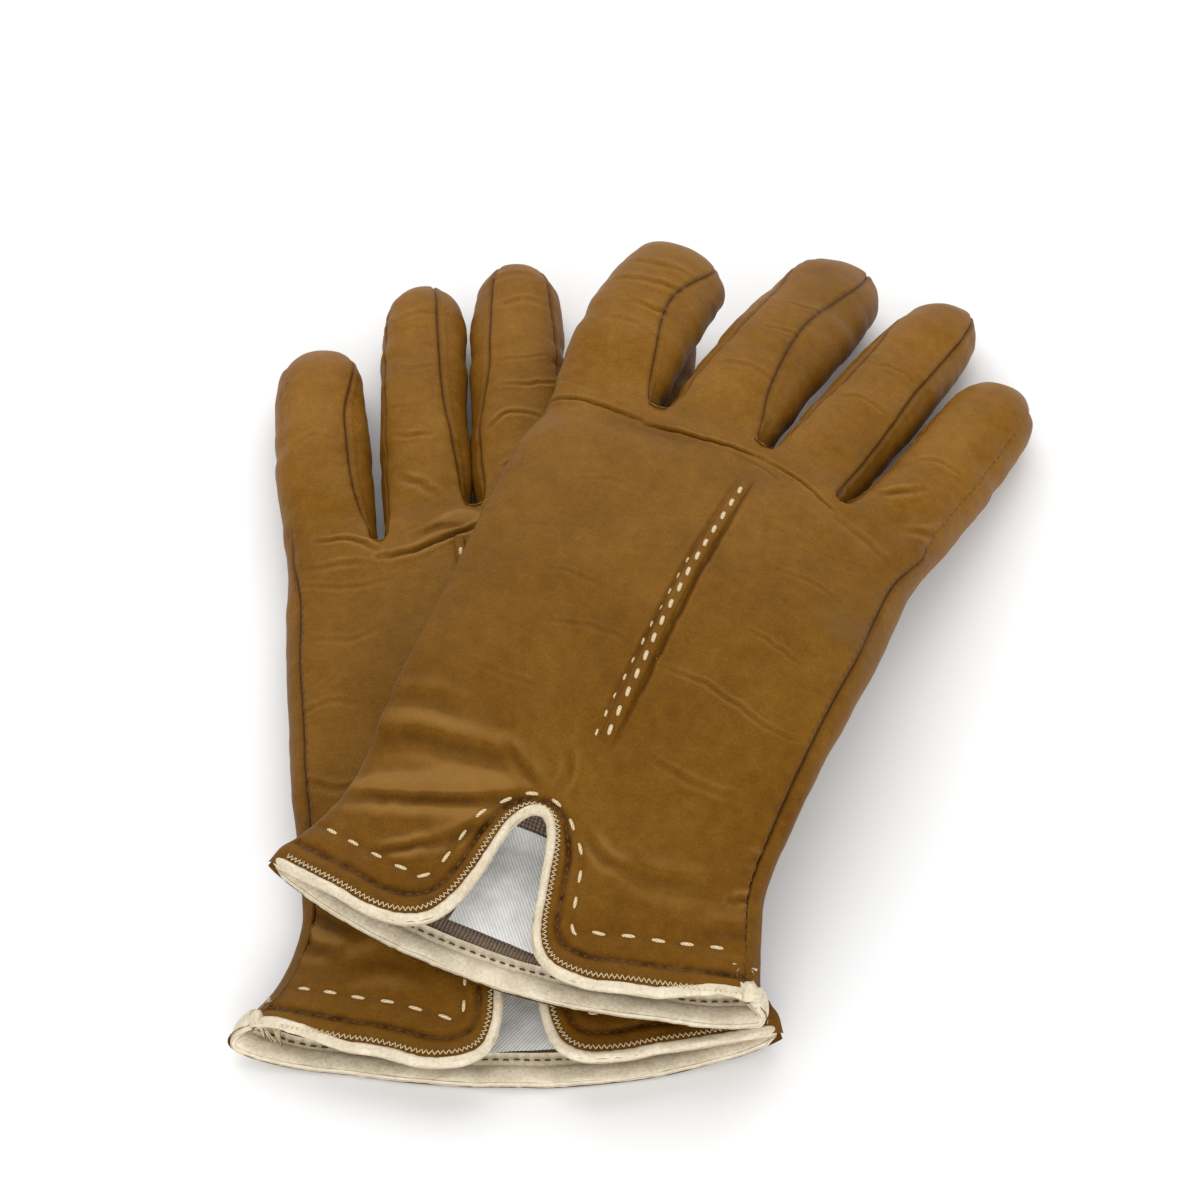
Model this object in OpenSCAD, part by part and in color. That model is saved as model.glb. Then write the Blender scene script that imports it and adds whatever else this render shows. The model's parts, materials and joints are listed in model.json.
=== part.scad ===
// A crossed pair of short lined leather gloves with a vented, bound cuff.
// Each glove is drawn in its own frame: the cuff's hem at y = 0, fingers along +y,
// the little finger on +x and the thumb on -x.  The left glove is the mirror image.

/* [Glove] */
// Width of the hand across the palm
palm_w = 90; // [84:1:96]
// Width of the cuff at its hem
cuff_w = 102; // [96:1:108]
// Height of the hand at its fullest
hand_h = 21; // [20:0.5:22]
// Height of the cuff's mouth
cuff_h = 11.5; // [10:0.5:12]
// Length of the middle finger beyond its knuckle
middle_l = 82; // [76:1:84]

/* [Materials] */
// Thickness of the glove leather
leather_t = 1.0; // [0.8:0.1:1.2]
// Thickness of the knitted lining
lining_t = 0.9; // [0.7:0.1:1.1]
// Radius of the rolled edge binding
binding_r = 1.6; // [1.2:0.1:1.8]

/* [Vent] */
// Depth of the vent above the hem
vent_l = 27; // [20:1:30]
// Half of the vent's width at the hem
vent_w = 13; // [10:1:14]
// Where the vent's top lies across the back
vent_x = -7; // [-10:1:-3]

/* [Pose] */
// Turn of the left glove, which lies below
left_turn = 5; // [3:1:7]
// Turn of the right glove, which lies on top
right_turn = -23; // [-25:1:-21]
// Travel that the finger hinges leave room for
flex = 50; // [30:5:50]

/* [Hidden] */

tan_leather = "#a06a24";
cream_leather = "#ddcdb0";
knit = "#8c7462";
thread = "#f0d9a8";
satin = "#eeeeee";

RIGHT = 1;
LEFT = -1;
BACK = 90;                   // angle of the back of the hand in a cross-section
seam_gap = 2;                // degrees left open along each seam
skin_gap = 0.2;              // leather to lining
lining_in = leather_t + skin_gap;
finger_in = leather_t + 0.6; // leather's outside to a finger's lining
knuckle_gap = 0.35;          // hand to finger at rest
relief = flex / 2;           // each side's share of the hinge's wedge
axis_z = 9.5;                // height of the finger hinges
thumb_h = 9;                 // height of the flattened thumb
thumb_lift = thumb_h + 0.7;  // how far the palm is raised over the thumb
thumb_hub = [-30, 52];
thumb_l = 62;
thumb_turn = -11;
palm_x = -4;                 // middle of the palm

// Fingers: name, knuckle x, knuckle y, half width, half height, length
FINGERS = [["index", -36.9, 128, 11.9, 8.3, middle_l - 15],
           ["middle", -12.0, 130, 11.9, 8.5, middle_l],
           ["ring", 10.7, 128, 9.7, 8.1, middle_l - 2],
           ["little", 31.2, 119, 9.7, 7.7, middle_l - 12]];
// Turn of each finger from the hand's axis, towards the little finger
right_fan = [-3, 4, 6, 9];
left_fan = [-11, -4, -4.5, 0.5];
left_at = [-31.4, -100.0];
right_at = [-27.8, -90.7];

function fan(g, k) = g == RIGHT ? right_fan[k] : left_fan[k];
function clamp01(t) = min(1, max(0, t));
function smooth(t) = let (c = clamp01(t)) c * c * (3 - 2 * c);
function power(v, e) = sign(v) * pow(abs(v), e);
function mix(a, b, t) = a + (b - a) * t;
function unit(v) = v / norm(v);

// ---- Where a glove's own point lies on the table ----

function turned(p, a) = [p[0] * cos(a) - p[1] * sin(a), p[0] * sin(a) + p[1] * cos(a)];
// Height of what lies under the upper glove
function under_back(y) = lookup(y - left_at[1], [[-10, 13], [30, 16.4], [60, 20.6], [90, 22.4], [200, 22.4]]);
function slope(p) = 0.5 + 0.5 * cos(180 * clamp01(((p[0] - right_at[0] - 20) * cos(20)
                    + (p[1] - right_at[1] - 78) * sin(20) - 15) / 100));
function lift(p) = under_back(p[1]) * slope(p);
function place(g, p) =
    let (flat = g == RIGHT ? turned(p, right_turn) + right_at : turned([-p[0], p[1]], left_turn) + left_at)
    [flat[0], flat[1], p[2] + (g == RIGHT ? lift(flat) : 0)];

// ---- Solids made from grids of points: rows run along y, columns round the section ----

function flat_list(rows) = [for (r = rows) each r];
// Faces of a thick patch; wrap closes it round the section, cap closes its last row on a point
function patch_faces(nr, nc, wrap, cap, hole) =
    let (n = nr * nc, cells = wrap ? nc : nc - 1,
         at = function (r, c) r * nc + c % nc,
         open = function (r, c) hole != undef && r >= hole[0] && r < hole[1]
                                && c >= hole[2] && c < hole[3],
         gone = function (r, c) r < 0 || r >= nr - 1 || (!wrap && (c < 0 || c >= nc - 1))
                                || open(r, (c + nc) % nc))
    [for (r = [0:nr - 2], c = [0:cells - 1]) if (!open(r, c))
        let (p = at(r, c), q = at(r, c + 1), s = at(r + 1, c + 1), t = at(r + 1, c))
        each concat(
            [[p, q, s], [p, s, t], [n + p, n + s, n + q], [n + p, n + t, n + s]],
            gone(r - 1, c) ? [[q, p, n + p], [q, n + p, n + q]] : [],
            gone(r + 1, c) && !(cap && r == nr - 2) ? [[t, s, n + s], [t, n + s, n + t]] : [],
            gone(r, c - 1) ? [[p, t, n + t], [p, n + t, n + p]] : [],
            gone(r, c + 1) ? [[s, q, n + q], [s, n + q, n + s]] : []),
     if (cap) for (c = [0:cells - 1])
        let (p = at(nr - 1, c), q = at(nr - 1, c + 1))
        each [[p, q, 2 * n], [n + q, n + p, 2 * n + 1]]];

module patch(g, outer, inner, wrap = false, tip = undef, hole = undef) {
    nr = len(outer);
    nc = len(outer[0]);
    points = concat(flat_list(outer), flat_list(inner), tip == undef ? [] : tip);
    faces = patch_faces(nr, nc, wrap, tip != undef, hole);
    polyhedron([for (p = points) place(g, p)],
               g == RIGHT ? faces : [for (f = faces) [f[2], f[1], f[0]]], convexity = 8);
}

// ---- The hand ----

function side_x(s, y) =
    let (palm = palm_x + s * palm_w / 2, cuff = s * cuff_w / 2, wrist = palm - s * 2)
    lookup(y, [[-12, cuff + s], [0, cuff], [14, mix(cuff, wrist, 0.75)], [30, wrist], [60, wrist + s * 0.3],
               [90, palm], [140, palm]]);
function top_z(y) = lookup(y, [[-12, cuff_h - 0.4], [0, cuff_h], [14, cuff_h + 1.6], [30, cuff_h + 3.5],
                               [60, hand_h - 2], [95, hand_h], [118, hand_h - 0.8], [135, 18.2]]);
// The palm is raised where the thumb lies folded under it
function low_z(x, y) = thumb_lift * smooth((4 - x) / 12) * smooth((y - 24) / 12) * smooth((122 - y) / 10);
// Height of the side seams, where the back meets the palm
function mid_z(x, y) = mix(5.2, axis_z, smooth(y / 60)) + 0.5 * low_z(x, y);

function hand_point(y, a, inset) =
    let (l = side_x(-1, y), r = side_x(1, y), c = power(cos(a), 0.75),
         x = (l + r) / 2 + (r - l) / 2 * c,
         s = power(abs(sin(a)), 0.85), m = mid_z(x, y))
    [x - inset * c, y, a < 180 ? m + (top_z(y) - m - inset) * s : m - (m - low_z(x, y) - inset) * s];

// The hem is a shallow arc, and its back rises to the vent's rounded top between two flaps
function hem_line(g, x) = (g == RIGHT ? -5 : -9) + x / 10 + 0.0035 * x * x;
function vent_rise(x) =
    let (t = abs(x - vent_x) / (x < vent_x ? vent_w * 0.95 : vent_w * 0.85))
    t >= 1 ? 0 : vent_l * (0.5 + 0.5 * cos(180 * pow(t, 1.3)));
function hem_y(g, a) = let (x = hand_point(0, a, 0)[0]) hem_line(g, x) + (a < 180 ? vent_rise(x) : 0);

// The end of the hand at a knuckle, cut back below the hinge to let the finger bend
function wedge(z, g) = tan(relief) * max(0, g == LEFT ? axis_z - z : z - axis_z);
function knuckle_line(g, x) =
    let (k = x < -24.4 ? 0 : x < 0.5 ? 1 : x < 21 ? 2 : 3)
    FINGERS[k][2] - (x - FINGERS[k][1]) * tan(fan(g, k)) - knuckle_gap;

// One column of the hand: from the hem to the knuckles
function hand_column_y(g, a, inset, t) =
    let (end_p = hand_point(128, a, inset), end_y = knuckle_line(g, end_p[0]) - wedge(end_p[2], g))
    mix(hem_y(g, a) + 0.3, end_y, t);

function hand_grid(g, angles, inset, steps) =
    [for (t = steps) [for (a = angles) hand_point(hand_column_y(g, a, inset, t), a, inset)]];

// Section angles, closer together beside the vent and at the finger forks
function angle_at(x) = let (u = (x - palm_x) / (palm_w / 2)) acos(power(u, 1 / 0.75));
vent_columns = [for (x = [11, 8.5, 6, 4, 2, 0, -2, -4, -6, -8.5, -11, -14]) angle_at(vent_x + x)];
back_angles = concat([seam_gap / 2, 12, 24, 36, 48, 60, 70], vent_columns,
                     [for (a = [125:11:169]) a], [180 - seam_gap / 2]);
palm_angles = concat([180 + seam_gap / 2], [for (a = [192:12:348]) a], [360 - seam_gap / 2]);
all_angles = concat(back_angles, palm_angles);
hand_steps = [0, 0.04, 0.09, 0.16, 0.25, 0.34, 0.42, 0.5, 0.64, 0.78, 0.9, 1];
lining_steps = [for (i = [2:len(hand_steps) - 1]) hand_steps[i]];
thumb_hole = [5, 7, 3, 6];   // rows and columns of the palm left open for the thumb

module back_panel(g) color(tan_leather)
    patch(g, hand_grid(g, back_angles, 0, hand_steps), hand_grid(g, back_angles, leather_t, hand_steps));

module palm_panel(g) color(tan_leather)
    patch(g, hand_grid(g, palm_angles, 0, hand_steps), hand_grid(g, palm_angles, leather_t, hand_steps),
          hole = thumb_hole);

module hand_lining(g) color(knit)
    patch(g, hand_grid(g, all_angles, lining_in, lining_steps),
             hand_grid(g, all_angles, lining_in + lining_t, lining_steps), wrap = true,
             hole = [thumb_hole[0] - 2, thumb_hole[1] - 2, thumb_hole[2] + len(back_angles),
                     thumb_hole[3] + len(back_angles)]);

module cuff_facing(g) color(cream_leather) {
    band = function (inset) [for (t = [0, 0.04, 0.07])
                             [for (a = all_angles) hand_point(hand_column_y(g, a, inset, t), a, inset)]];
    patch(g, band(lining_in), band(lining_in + 0.7), wrap = true);
}

// The binding is rolled round the whole hem: a small tube that follows it
module cuff_binding(g) color(cream_leather) {
    edge = function (a, inset) place(g, hand_point(hem_y(g, a) + 0.2, a, inset));
    spine = [for (a = all_angles) edge(a, a > 180 ? binding_r : 0.9)];
    away = [for (a = all_angles) unit(edge(a, 0) - edge(a, 1.8))];
    n = len(spine);
    ring = 6;
    points = [for (i = [0:n - 1])
        let (along = unit(spine[(i + 1) % n] - spine[(i + n - 1) % n]),
             side = unit(cross(along, away[i])), up = cross(side, along))
        for (j = [0:ring - 1]) spine[i] + binding_r * (side * cos(360 * j / ring) + up * sin(360 * j / ring))];
    faces = [for (i = [0:n - 1], j = [0:ring - 1])
        let (a = i * ring + j, b = i * ring + (j + 1) % ring,
             c = ((i + 1) % n) * ring + (j + 1) % ring, d = ((i + 1) % n) * ring + j)
        each [[a, b, c], [a, c, d]]];
    polyhedron(points, faces, convexity = 8);
}

// A woven label sewn to the palm side of the lining, seen through the vent
label_w = 18;
label_l = 8;
label_t = 0.4;
label_at = [-21, 9];
module size_label(g) color(satin) {
    z = lining_in + lining_t + 0.5;
    grid = function (h) [for (v = [0, 0.5, 1]) [for (u = [1, 0.5, 0])
                         [label_at[0] + u * label_w, label_at[1] + v * label_l, z + h]]];
    patch(g, grid(label_t), grid(0));
}

// ---- Stitches: short bars that lie on the back ----

function back_z(x, y) =
    let (l = side_x(-1, y), r = side_x(1, y), u = (x - (l + r) / 2) / ((r - l) / 2),
         c = power(u, 1 / 0.75), m = mid_z(x, y))
    m + (top_z(y) - m) * pow(sqrt(max(0, 1 - c * c)), 0.85);

module stitch(g, x, y, turn, long, h = 0.7, w = 0.8) {
    p = place(g, [x, y, back_z(x, y)]);
    translate(p)
        rotate(g == RIGHT ? turn + right_turn : -turn + left_turn)
            cube([long, w, h], center = true);
}

stitch_l = 3.6;
stitch_pitch = 8.2;
stitch_in = 12;
module cuff_stitches(g) color(thread) {
    for (x = [vent_x - 13 - 3 * stitch_pitch : stitch_pitch : vent_x - 12]) stitch(g, x, stitch_in, 0, stitch_l);
    for (x = [vent_x + 13 : stitch_pitch : vent_x + 14 + 4 * stitch_pitch]) stitch(g, x, stitch_in, 0, stitch_l);
    for (s = [-1, 1], i = [0:3])
        stitch(g, vent_x + s * (7 + i * 2), vent_l + 3 - i * 6, s * (-62 - i * 4), stitch_l);
    stitch(g, vent_x, vent_l + 7, 0, stitch_l);
}

// The point: a stitched tuck down the middle of the back
point_from = 44;
point_to = 119;
point_x = 0;
module point_welt(g) color(tan_leather) {
    ys = [for (i = [0:6]) mix(point_from, point_to, i / 6)];
    ridge = function (middle, edge) [for (y = ys) [for (u = [1, 0, -1])
        [point_x + u * 2.6, y, back_z(point_x + u * 2.6, y) + (u == 0 ? middle : edge)]]];
    patch(g, ridge(1.1, 0.75), ridge(0.22, 0.22));
}

module point_stitches(g) color(thread)
    for (y = [point_from + 1 : 4.6 : point_to - 2]) {
        stitch(g, point_x, y, 90, 2.2, 0.8);
        stitch(g, point_x - 3.2, y + 2, 90, 1.8);
    }

// ---- Fingers ----

function finger_place(g, k, p) =
    let (f = FINGERS[k], q = turned([p[0], p[1]], -fan(g, k)))
    [f[1] + q[0], f[2] + q[1], p[2]];
// Height of the finger's middle line: a low arch that comes down to the table
function finger_mid(k, t) = mix(axis_z, FINGERS[k][4] + 0.4, smooth((t - 0.5) * 2.2)) + 1.2 * sin(180 * clamp01(t));
function dome(t, r) = t < 1 - r ? 1 : sqrt(max(0, 1 - pow((t - 1 + r) / r, 2)));
function finger_point(g, k, t, a, inset) =
    let (f = FINGERS[k], long = f[5], shrink = 1 - inset / f[4],
         d = dome(t, 0.2), w = (f[3] - inset) * d, h = (f[4] - inset) * d,
         z = finger_mid(k, t) + h * power(sin(a), 0.9),
         back_off = tan(relief) * max(0, g == LEFT ? axis_z - z : z - axis_z) * (1 - smooth(t * 4)))
    finger_place(g, k, [w * power(cos(a), 0.85), t * (long - inset) + back_off, z]);

finger_steps = [0, 0.12, 0.3, 0.5, 0.68, 0.8, 0.89, 0.95, 0.985];
function finger_grid(g, k, angles, inset) =
    [for (t = finger_steps) [for (a = angles) finger_point(g, k, t, a, inset)]];

module strip(g, k, angles)
    patch(g, finger_grid(g, k, angles, 0), finger_grid(g, k, angles, leather_t));

fork = 33;   // half of the fourchette's angle
half = seam_gap / 2;
// The index finger is folded on its outer side, and the little finger is seamed there
function from_angle(k) = k == 3 ? half : fork + half;
function to_angle(k) = k == 0 ? 180 - half : 180 - fork - half;
function spread(a, b, n) = [for (i = [0:n]) mix(a, b, i / n)];

module finger_back(g, k) color(tan_leather) strip(g, k, spread(from_angle(k), to_angle(k), 5));
module finger_front(g, k) color(tan_leather) strip(g, k, spread(360 - to_angle(k), 360 - from_angle(k), 5));
// The fourchettes: the strips let in between back and front on the sides that face another finger
module finger_sides(g, k) color(tan_leather) {
    if (k > 0) strip(g, k, spread(180 - fork + half, 180 + fork - half, 3));
    if (k < 3) strip(g, k, spread(half - fork, fork - half, 3));
}

module finger_lining(g, k) color(knit) {
    angles = [for (i = [0:11]) i * 30 + 15];
    inner = finger_in + lining_t;
    end = function (inset) finger_place(g, k, [0, FINGERS[k][5] - inset, finger_mid(k, 1)]);
    patch(g, finger_grid(g, k, angles, finger_in), finger_grid(g, k, angles, inner), wrap = true,
          tip = [end(finger_in), end(inner)]);
}

// ---- Thumb: a flattened stall under the palm, open upwards into the hand at its hub ----

thumb_w = 11.5;
thumb_steps = [0.02, 0.07, 0.16, 0.3, 0.44, 0.58, 0.72, 0.84, 0.93, 0.98];
function thumb_point(t, a, inset) =
    let (back_end = -13, long = thumb_l - back_end - 2 * inset,
         y = back_end + inset + t * long,
         round = pow(min(1, sin(180 * clamp01(t)) * 1.9), 0.7),
         p = [(thumb_w - inset) * round * power(cos(a), 0.8), y,
              thumb_h / 2 + (thumb_h / 2 - inset) * round * power(sin(a), 0.8)],
         q = turned([p[0], p[1]], thumb_turn))
    [thumb_hub[0] + q[0], thumb_hub[1] + q[1], p[2]];
thumb_angles = [for (i = [0:15]) i * 22.5];
function thumb_grid(inset) = [for (t = thumb_steps) [for (a = thumb_angles) thumb_point(t, a, inset)]];

module thumb_leather(g) color(tan_leather) thumb_stall(g, 0, leather_t);
module thumb_lining(g) color(knit) thumb_stall(g, lining_in, lining_in + lining_t);
module thumb_stall(g, a, b) patch(g, thumb_grid(a), thumb_grid(b), wrap = true, hole = [1, 4, 2, 6]);

// ---- Every node: the left glove's pieces, then the right glove's ----

module left_back_panel() back_panel(LEFT);
module left_palm_panel() palm_panel(LEFT);
module left_cuff_binding() cuff_binding(LEFT);
module left_cuff_facing() cuff_facing(LEFT);
module left_hand_lining() hand_lining(LEFT);
module left_size_label() size_label(LEFT);
module left_cuff_stitches() cuff_stitches(LEFT);
module left_point_welt() point_welt(LEFT);
module left_point_stitches() point_stitches(LEFT);
module left_thumb_leather() thumb_leather(LEFT);
module left_thumb_lining() thumb_lining(LEFT);
module left_index_back() finger_back(LEFT, 0);
module left_index_front() finger_front(LEFT, 0);
module left_index_sides() finger_sides(LEFT, 0);
module left_index_lining() finger_lining(LEFT, 0);
module left_middle_back() finger_back(LEFT, 1);
module left_middle_front() finger_front(LEFT, 1);
module left_middle_sides() finger_sides(LEFT, 1);
module left_middle_lining() finger_lining(LEFT, 1);
module left_ring_back() finger_back(LEFT, 2);
module left_ring_front() finger_front(LEFT, 2);
module left_ring_sides() finger_sides(LEFT, 2);
module left_ring_lining() finger_lining(LEFT, 2);
module left_little_back() finger_back(LEFT, 3);
module left_little_front() finger_front(LEFT, 3);
module left_little_sides() finger_sides(LEFT, 3);
module left_little_lining() finger_lining(LEFT, 3);
module right_back_panel() back_panel(RIGHT);
module right_palm_panel() palm_panel(RIGHT);
module right_cuff_binding() cuff_binding(RIGHT);
module right_cuff_facing() cuff_facing(RIGHT);
module right_hand_lining() hand_lining(RIGHT);
module right_size_label() size_label(RIGHT);
module right_cuff_stitches() cuff_stitches(RIGHT);
module right_point_welt() point_welt(RIGHT);
module right_point_stitches() point_stitches(RIGHT);
module right_thumb_leather() thumb_leather(RIGHT);
module right_thumb_lining() thumb_lining(RIGHT);
module right_index_back() finger_back(RIGHT, 0);
module right_index_front() finger_front(RIGHT, 0);
module right_index_sides() finger_sides(RIGHT, 0);
module right_index_lining() finger_lining(RIGHT, 0);
module right_middle_back() finger_back(RIGHT, 1);
module right_middle_front() finger_front(RIGHT, 1);
module right_middle_sides() finger_sides(RIGHT, 1);
module right_middle_lining() finger_lining(RIGHT, 1);
module right_ring_back() finger_back(RIGHT, 2);
module right_ring_front() finger_front(RIGHT, 2);
module right_ring_sides() finger_sides(RIGHT, 2);
module right_ring_lining() finger_lining(RIGHT, 2);
module right_little_back() finger_back(RIGHT, 3);
module right_little_front() finger_front(RIGHT, 3);
module right_little_sides() finger_sides(RIGHT, 3);
module right_little_lining() finger_lining(RIGHT, 3);

left_back_panel();
left_palm_panel();
left_cuff_binding();
left_cuff_facing();
left_hand_lining();
left_size_label();
left_cuff_stitches();
left_point_welt();
left_point_stitches();
left_thumb_leather();
left_thumb_lining();
left_index_back();
left_index_front();
left_index_sides();
left_index_lining();
left_middle_back();
left_middle_front();
left_middle_sides();
left_middle_lining();
left_ring_back();
left_ring_front();
left_ring_sides();
left_ring_lining();
left_little_back();
left_little_front();
left_little_sides();
left_little_lining();
right_back_panel();
right_palm_panel();
right_cuff_binding();
right_cuff_facing();
right_hand_lining();
right_size_label();
right_cuff_stitches();
right_point_welt();
right_point_stitches();
right_thumb_leather();
right_thumb_lining();
right_index_back();
right_index_front();
right_index_sides();
right_index_lining();
right_middle_back();
right_middle_front();
right_middle_sides();
right_middle_lining();
right_ring_back();
right_ring_front();
right_ring_sides();
right_ring_lining();
right_little_back();
right_little_front();
right_little_sides();
right_little_lining();
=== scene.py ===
import json
import math

import bpy
import numpy as np
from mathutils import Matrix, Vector
from mathutils.bvhtree import BVHTree

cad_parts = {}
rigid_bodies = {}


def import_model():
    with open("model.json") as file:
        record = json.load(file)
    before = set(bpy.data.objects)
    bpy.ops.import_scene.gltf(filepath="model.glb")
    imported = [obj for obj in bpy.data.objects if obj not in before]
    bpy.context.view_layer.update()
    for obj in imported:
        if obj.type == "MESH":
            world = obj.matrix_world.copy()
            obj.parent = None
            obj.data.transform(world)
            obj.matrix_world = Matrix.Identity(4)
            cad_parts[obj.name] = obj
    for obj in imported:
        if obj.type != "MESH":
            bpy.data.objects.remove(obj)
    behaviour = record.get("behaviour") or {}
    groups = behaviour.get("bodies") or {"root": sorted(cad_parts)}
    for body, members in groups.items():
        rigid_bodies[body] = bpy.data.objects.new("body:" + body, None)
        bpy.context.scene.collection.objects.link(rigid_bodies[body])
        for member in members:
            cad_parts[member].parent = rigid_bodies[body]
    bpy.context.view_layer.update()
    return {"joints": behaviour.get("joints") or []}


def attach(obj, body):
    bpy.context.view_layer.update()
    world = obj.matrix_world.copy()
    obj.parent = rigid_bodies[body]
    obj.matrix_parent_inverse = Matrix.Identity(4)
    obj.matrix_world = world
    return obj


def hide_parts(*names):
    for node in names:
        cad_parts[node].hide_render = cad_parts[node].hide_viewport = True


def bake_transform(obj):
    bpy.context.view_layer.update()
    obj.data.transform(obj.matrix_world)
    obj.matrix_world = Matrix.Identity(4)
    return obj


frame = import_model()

MM = 0.001
RIGHT, LEFT = 1, -1
SIDE = {RIGHT: "right", LEFT: "left"}
FINGERS = ("index", "middle", "ring", "little")

# Where each glove lies: the middle of its cuff on the table, and its turn, as in the CAD
CUFF_AT = {LEFT: (-31.4, -100.0), RIGHT: (-27.8, -90.7)}
TURN = {LEFT: 5.0, RIGHT: -23.0}


# ---------------------------------------------------------------- numbers and noise

def smooth(t):
    t = np.clip(t, 0.0, 1.0)
    return t * t * (3 - 2 * t)


def mix(a, b, t):
    return a + (b - a) * t


def power(v, e):
    return np.sign(v) * np.abs(v) ** e


def unit(v, least=0.0):
    """Vectors made one long, or shorter where they are shorter than the least length."""
    return v / np.maximum(np.linalg.norm(v, axis=-1, keepdims=True), least)


def distances(line):
    """How far along a line each of its points lies."""
    return np.concatenate([[0], np.cumsum(np.linalg.norm(np.diff(line, axis=0), axis=1))])


def read_at(at, s, v):
    """Rows of v, given at distances s, read at other distances."""
    return np.stack([np.interp(at, s, v[:, k]) for k in range(v.shape[1])], -1)


def eased(v):
    """A closed line's values, each averaged with its neighbours'."""
    return (np.roll(v, 1, 0) + 2 * v + np.roll(v, -1, 0)) / 4


def grid_faces(n):
    """The four-sided faces between a grid's point numbers."""
    return np.stack([n[:-1, :-1], n[:-1, 1:], n[1:, 1:], n[1:, :-1]], -1).reshape(-1, 4)


def curve(x, table):
    """A smooth curve through (x, value) pairs, flat past its ends."""
    xs = np.array([p[0] for p in table], float)
    ys = np.array([p[1] for p in table], float)
    d = np.diff(ys) / np.diff(xs)
    m = np.zeros_like(ys)
    for i in range(1, len(ys) - 1):
        if d[i - 1] * d[i] > 0:
            m[i] = 2 * d[i - 1] * d[i] / (d[i - 1] + d[i])
    x = np.clip(x, xs[0], xs[-1])
    i = np.clip(np.searchsorted(xs, x, side="right") - 1, 0, len(xs) - 2)
    h = xs[i + 1] - xs[i]
    t = (x - xs[i]) / h
    return ((1 + 2 * t) * (1 - t) ** 2 * ys[i] + t * (1 - t) ** 2 * h * m[i]
            + t * t * (3 - 2 * t) * ys[i + 1] + t * t * (t - 1) * h * m[i + 1])


def path(points, n):
    """n points evenly spaced along a smooth path through the given ones."""
    p = np.array(points, float)
    p = np.vstack([2 * p[0] - p[1], p, 2 * p[-1] - p[-2]])
    out = []
    for i in range(1, len(p) - 2):
        for t in np.linspace(0, 1, 24, endpoint=False):
            a, b, c, d = p[i - 1], p[i], p[i + 1], p[i + 2]
            out.append(0.5 * (2 * b + (c - a) * t + (2 * a - 5 * b + 4 * c - d) * t * t
                              + (3 * b - a - 3 * c + d) * t ** 3))
    out = np.array(out + [p[-2]])
    s = distances(out)
    return read_at(np.linspace(0, s[-1], n), s, out)


def noise(p, seed=0):
    """Smooth value noise from -1 to 1 at points of any shape (..., 3)."""
    p = np.asarray(p, float)
    i = np.floor(p).astype(np.int64)
    f = p - i
    u = f * f * f * (f * (f * 6 - 15) + 10)
    out = np.zeros(p.shape[:-1])
    for dx in (0, 1):
        for dy in (0, 1):
            for dz in (0, 1):
                h = ((i[..., 0] + dx) * 73856093) ^ ((i[..., 1] + dy) * 19349663) \
                    ^ ((i[..., 2] + dz) * 83492791) ^ (seed * 2654435761)
                h = (h & 0xffffffff)
                h = ((h ^ (h >> 13)) * 1274126177) & 0xffffffff
                h = h ^ (h >> 16)
                w = (u[..., 0] if dx else 1 - u[..., 0]) * (u[..., 1] if dy else 1 - u[..., 1]) \
                    * (u[..., 2] if dz else 1 - u[..., 2])
                out += w * ((h & 0xffff) / 32767.5 - 1)
    return out


# ---------------------------------------------------------------- a glove's own frame

def turned(x, y, deg):
    c, s = math.cos(math.radians(deg)), math.sin(math.radians(deg))
    return x * c - y * s, x * s + y * c


def lift(x, y):
    """How far the upper glove is raised over the lower one, as in the CAD."""
    under = curve(y - CUFF_AT[LEFT][1], [(-10, 13), (30, 16.4), (60, 20.6), (90, 22.4), (200, 22.4)])
    across = ((x - CUFF_AT[RIGHT][0] - 20) * math.cos(math.radians(20))
              + (y - CUFF_AT[RIGHT][1] - 78) * math.sin(math.radians(20)) - 15) / 100
    return under * (0.5 + 0.5 * np.cos(np.pi * np.clip(across, 0, 1)))


# How far the leather stands out past the hand's section: at the hem on each side, and along the little-finger side.
# The CAD has none of this
LITTLE_FLARE, THUMB_FLARE, FULLER = {LEFT: 6.5, RIGHT: 3.2}, 4.2, 2.0


def place(g, p):
    """Glove points in mm (x to the little finger, y to the fingertips) to the row frame in mm, with the cuff flared."""
    p = np.asarray(p, float)
    x, y = p[..., 0], p[..., 1]
    flare = np.where(x > 0, LITTLE_FLARE[g], THUMB_FLARE) * (1 - smooth((y + 4) / 26))
    fuller = np.where(x > 0, FULLER, 0.0) * smooth((y - 4) / 16) * (1 - smooth((y - 84) / 26))
    x = x + np.sign(x) * (flare + fuller) * np.clip((np.abs(x) - 10) / 40, 0, 1.1)
    x, y = turned(x * g, y, TURN[g])
    x, y = x + CUFF_AT[g][0], y + CUFF_AT[g][1]
    z = p[..., 2] + (lift(x, y) if g == RIGHT else 0)
    return np.stack([x, y, np.maximum(z, 0.02)], -1)


# ---------------------------------------------------------------- the shape of the hand

AXIS_Z = 9.5                        # height of the hand's middle at the knuckles
THUMB_H = 9.0                       # height of the thumb folded under the palm
MID_X = -4.0
HAND_ROUND, HAND_PLUMP = 0.78, 0.85  # how square the hand's section is across and up; 1 is an ellipse
KNUCKLE_Y = 118.0
THUMB_EDGE, LITTLE_EDGE = -50.0, 41.4


def side_x(s, y):
    return curve(y, [(-12, s * 53), (0, s * 51.5), (14, MID_X * 0.6 + s * 46), (32, MID_X + s * 42.5),
                     (60, MID_X + s * 43.2), (90, MID_X + s * 44.6), (112, MID_X + s * 45.4), (140, MID_X + s * 45.4)])


def top_z(y):
    return curve(y, [(-12, 11.6), (0, 12.0), (14, 13.4), (30, 15.2), (60, 18.6), (90, 20.6), (112, 20.8), (135, 18.6)])


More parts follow.
